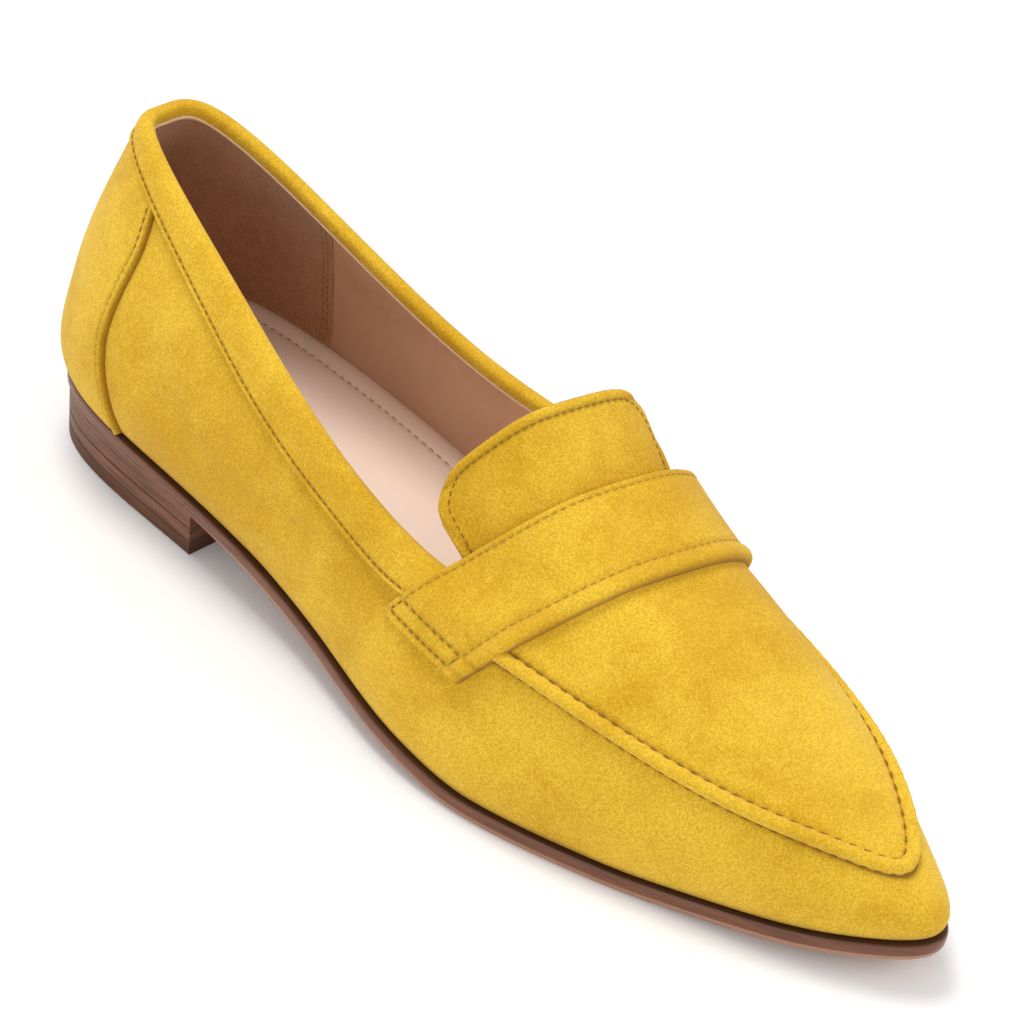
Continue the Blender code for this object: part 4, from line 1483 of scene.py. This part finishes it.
def build_footbed():
    """Footbed with its dented border and the faint row of stitches in the dent."""
    turns = np.linspace(0, 2, FOOTBED_COLUMNS, endpoint=False)
    shares = np.concatenate([np.linspace(1, 0.6, 40), np.linspace(0.6, 0.05, 16)[1:]])
    rings = [footbed_ring(turns, 0.0), footbed_ring(turns, 0.5)] + footbed_top(turns, shares)
    plate("footbed", rings, finish("footbed"), "insole_leather", ("insole",))
    around = np.linspace(-0.85, 0.85, 900)
    rim = footbed_ring(around, 1.0)
    half = length(footbed_ring(-around, 1.0) - rim)[:, 0] / 2
    share = 1 - FOOTBED_ROW / np.maximum(half, FOOTBED_ROW)
    path = rim - outward(around) * FOOTBED_ROW
    path[:, 2] = rim[:, 2] - INSOLE_DISH * (1 - share**2) - 0.2 * MM
    up = np.broadcast_to([0.0, 0.0, 1.0], path.shape)
    rows = [(path, up, 2.6 * MM, (1.5 * MM, 0.5 * MM, 0.35 * MM))]
    stitches("footbed_stitches", rows, finish("footbed_thread"), "insole_leather")


def build_outsole():
    """Sole edge: bevelled below, upright in its middle, rounded above, as OUTSOLE_PROFILE says."""
    turns = np.linspace(0, 2, OUTSOLE_COLUMNS, endpoint=False)
    bottom = feather_at(turns)[:, 2] - OUTSOLE_THICKNESS
    rings = []
    for edge, share in OUTSOLE_PROFILE:
        ring = outline(turns, OUTSOLE_EDGE + edge)
        ring[:, 2] = bottom + share * (OUTSOLE_THICKNESS - GAP)
        rings.append(ring)
    shares = [share for _, share in OUTSOLE_PROFILE]
    plate("outsole_leather", rings, finish("sole"), "sole_leather", ("outsole",), shares=shares)


def heel_ring(edge, height):
    """Outline of the heel at this distance outside the feather, closed by the straight breast."""
    turns = np.linspace(0, 0.5, FINE)
    end_out = np.interp(HEEL_LENGTH, feather_at(turns)[:, 0], turns)
    end_in = np.interp(HEEL_LENGTH, feather_at(2 - turns)[:, 0], turns)
    share = np.linspace(0, 1, 70)
    ring = outline(np.concatenate([share * end_out, 2 - end_in * share[:0:-1]]), edge)
    ring[:, 0] = np.minimum(ring[:, 0], HEEL_LENGTH)
    ring[:, 2] = height(ring[:, 0])
    return ring


def heel_layer(name, low, high, look, slot, node):
    """One layer of the heel, its side leaning in towards the floor and its edges a little soft."""
    rings = []
    for share in HEEL_SHARES:
        def height(x, share=share):
            """Height of this ring over the floor, between the layer's underside and its top."""
            return low(x) + share * (high(x) - low(x))

        lean = HEEL_TAPER * (1 - height(HEEL_LENGTH / 2) / SEAT_HEIGHT)
        soft = HEEL_SOFT * (1 - edge_round(np.minimum(share, 1 - share), 0.1))
        rings.append(heel_ring(HEEL_EDGE - lean - soft, height))
    plate(name, rings, finish(look), slot, (node,), shares=HEEL_SHARES)


def build_heel():
    """The heel's three layers: two flat ones, and the wedge that fills up to the outsole."""
    def flat(height):
        """Level face at this height."""
        return lambda x: 0 * x + height

    def seat(x):
        """Underside of the outsole, less a hair."""
        return sole_height(x) - OUTSOLE_THICKNESS - HAIR

    lift = TOP_PIECE_THICKNESS + HAIR
    wedge = TOP_PIECE_THICKNESS + GAP + LIFT_THICKNESS + HAIR
    layers = (
        ("top_piece", 0, flat(lift - 2 * HAIR), "top_piece", "top_piece_rubber", "heel_top_piece"),
        ("lower_lift", lift, flat(wedge - 2 * HAIR), "stack", "sole_leather", "heel_lift_lower"),
        ("seat_wedge", wedge, seat, "stack", "sole_leather", "heel_lift_upper"),
    )
    for name, low, high, look, slot, node in layers:
        heel_layer(name, flat(low), high, look, slot, node)


def lamp(name, place, size, power):
    """Round soft lamp at this place, turned to the shoe."""
    data = bpy.data.lights.new(name, "AREA")
    data.shape = "DISK"
    data.size = size
    data.energy = power
    made = bpy.data.objects.new(name, data)
    bpy.context.scene.collection.objects.link(made)
    made.location = place
    made.rotation_euler = (Vector(LAMP_AIM) - Vector(place)).to_track_quat("-Z", "Y").to_euler()


def camera_pose():
    """Camera's place and axes: back from its azimuth and elevation, right level, both rolled."""
    azimuth, elevation = CAMERA_AZIMUTH, CAMERA_ELEVATION
    right = np.array([math.cos(azimuth), math.sin(azimuth), 0.0])
    level = np.array([math.sin(azimuth), -math.cos(azimuth), 0.0])
    back = level * math.cos(elevation) + np.array([0.0, 0.0, math.sin(elevation)])
    up = np.cross(back, right)
    pose = np.eye(4)
    pose[:3, 0] = math.cos(CAMERA_ROLL) * right + math.sin(CAMERA_ROLL) * up
    pose[:3, 1] = -math.sin(CAMERA_ROLL) * right + math.cos(CAMERA_ROLL) * up
    pose[:3, 2] = back
    pose[:3, 3] = np.array(CAMERA_PLACE) + ORIGIN
    return Matrix(pose.tolist())


def build_stage():
    """Pale floor, soft lamps and the camera at the photograph's angle."""
    corners = FLOOR_HALF * np.array([(-1, -1, 0), (1, -1, 0), (1, 1, 0), (-1, 1, 0)])
    mesh = bpy.data.meshes.new("studio_floor")
    mesh.from_pydata((corners - (0, 0, HAIR)).tolist(), [], [(0, 1, 2, 3)])
    mesh.materials.append(finish("floor"))
    floor = bpy.data.objects.new("studio_floor", mesh)
    bpy.context.scene.collection.objects.link(floor)
    world = bpy.data.worlds.new("studio")
    world.use_nodes = True
    background = world.node_tree.nodes["Background"]
    background.inputs["Color"].default_value = (1, 1, 1, 1)
    background.inputs["Strength"].default_value = ROOM_LIGHT
    bpy.context.scene.world = world
    bpy.context.scene.view_settings.view_transform = "Standard"
    for name, (place, size, power) in LAMPS.items():
        lamp(name, place, size, power)
    data = bpy.data.cameras.new("camera")
    data.lens = CAMERA_LENS
    data.sensor_width = 36
    data.clip_start = 0.01
    camera = bpy.data.objects.new("camera", data)
    bpy.context.scene.collection.objects.link(camera)
    camera.matrix_world = camera_pose()
    bpy.context.scene.camera = camera


class LOAFER_OT_upper(bpy.types.Operator):
    """Builds the suede of the upper"""

    bl_idname = "loafer.upper"
    bl_label = "Upper suede"

    def execute(self, context):
        build_upper()
        return {"FINISHED"}


class LOAFER_OT_lining(bpy.types.Operator):
    """Builds the linings of the shoe's inside"""

    bl_idname = "loafer.lining"
    bl_label = "Lining"

    def execute(self, context):
        build_lining()
        return {"FINISHED"}


class LOAFER_OT_counter(bpy.types.Operator):
    """Builds the heel counter with its rolled edges"""

    bl_idname = "loafer.counter"
    bl_label = "Heel counter"

    def execute(self, context):
        build_counter()
        return {"FINISHED"}


class LOAFER_OT_collar(bpy.types.Operator):
    """Builds the padded binding of the topline"""

    bl_idname = "loafer.collar"
    bl_label = "Collar binding"

    def execute(self, context):
        build_collar()
        return {"FINISHED"}


class LOAFER_OT_apron(bpy.types.Operator):
    """Builds the raised seam round the toes"""

    bl_idname = "loafer.apron"
    bl_label = "Apron seam"

    def execute(self, context):
        build_apron_bead()
        return {"FINISHED"}


class LOAFER_OT_strap(bpy.types.Operator):
    """Builds the saddle strap and its stitches"""

    bl_idname = "loafer.strap"
    bl_label = "Strap"

    def execute(self, context):
        build_strap()
        return {"FINISHED"}


class LOAFER_OT_tongue(bpy.types.Operator):
    """Builds the tongue and its stitches"""

    bl_idname = "loafer.tongue"
    bl_label = "Tongue"

    def execute(self, context):
        build_tongue()
        return {"FINISHED"}


class LOAFER_OT_footbed(bpy.types.Operator):
    """Builds the footbed and its stitches"""

    bl_idname = "loafer.footbed"
    bl_label = "Footbed"

    def execute(self, context):
        build_footbed()
        return {"FINISHED"}


class LOAFER_OT_sole(bpy.types.Operator):
    """Builds the outsole with its burnished edge"""

    bl_idname = "loafer.sole"
    bl_label = "Outsole"

    def execute(self, context):
        build_outsole()
        return {"FINISHED"}


class LOAFER_OT_heel(bpy.types.Operator):
    """Builds the layers of the stacked heel"""

    bl_idname = "loafer.heel"
    bl_label = "Heel"

    def execute(self, context):
        build_heel()
        return {"FINISHED"}


class LOAFER_OT_stage(bpy.types.Operator):
    """Sets the floor, the lamps and the camera"""

    bl_idname = "loafer.stage"
    bl_label = "Stage"

    def execute(self, context):
        build_stage()
        return {"FINISHED"}


OPERATORS = (
    LOAFER_OT_upper,
    LOAFER_OT_lining,
    LOAFER_OT_counter,
    LOAFER_OT_collar,
    LOAFER_OT_apron,
    LOAFER_OT_strap,
    LOAFER_OT_tongue,
    LOAFER_OT_footbed,
    LOAFER_OT_sole,
    LOAFER_OT_heel,
    LOAFER_OT_stage,
)


class LOAFER_PT_panel(bpy.types.Panel):
    """Lists the loafer's sizes, colours and pieces"""

    bl_label = "Suede loafer"
    bl_idname = "LOAFER_PT_panel"
    bl_space_type = "VIEW_3D"
    bl_region_type = "UI"
    bl_category = "Loafer"

    def draw(self, context):
        for group in (sizes(), colours()):
            box = self.layout.box()
            for key in type(group).__annotations__:
                box.prop(group, key)
        column = self.layout.column(align=True)
        for each in OPERATORS:
            column.operator(each.bl_idname)


CLASSES = (LoaferSizes, LoaferColours, *OPERATORS, LOAFER_PT_panel)


def register():
    """Registers the classes and hangs the sizes and colours on the scene."""
    for each in CLASSES:
        bpy.utils.register_class(each)
    bpy.types.Scene.loafer_sizes = bpy.props.PointerProperty(type=LoaferSizes)
    bpy.types.Scene.loafer_colours = bpy.props.PointerProperty(type=LoaferColours)


def unregister():
    """Takes back what register did."""
    del bpy.types.Scene.loafer_colours
    del bpy.types.Scene.loafer_sizes
    for each in reversed(CLASSES):
        bpy.utils.unregister_class(each)


def main():
    register()
    for each in OPERATORS:
        group, name = each.bl_idname.split(".")
        getattr(getattr(bpy.ops, group), name)()


if __name__ == "__main__":
    main()
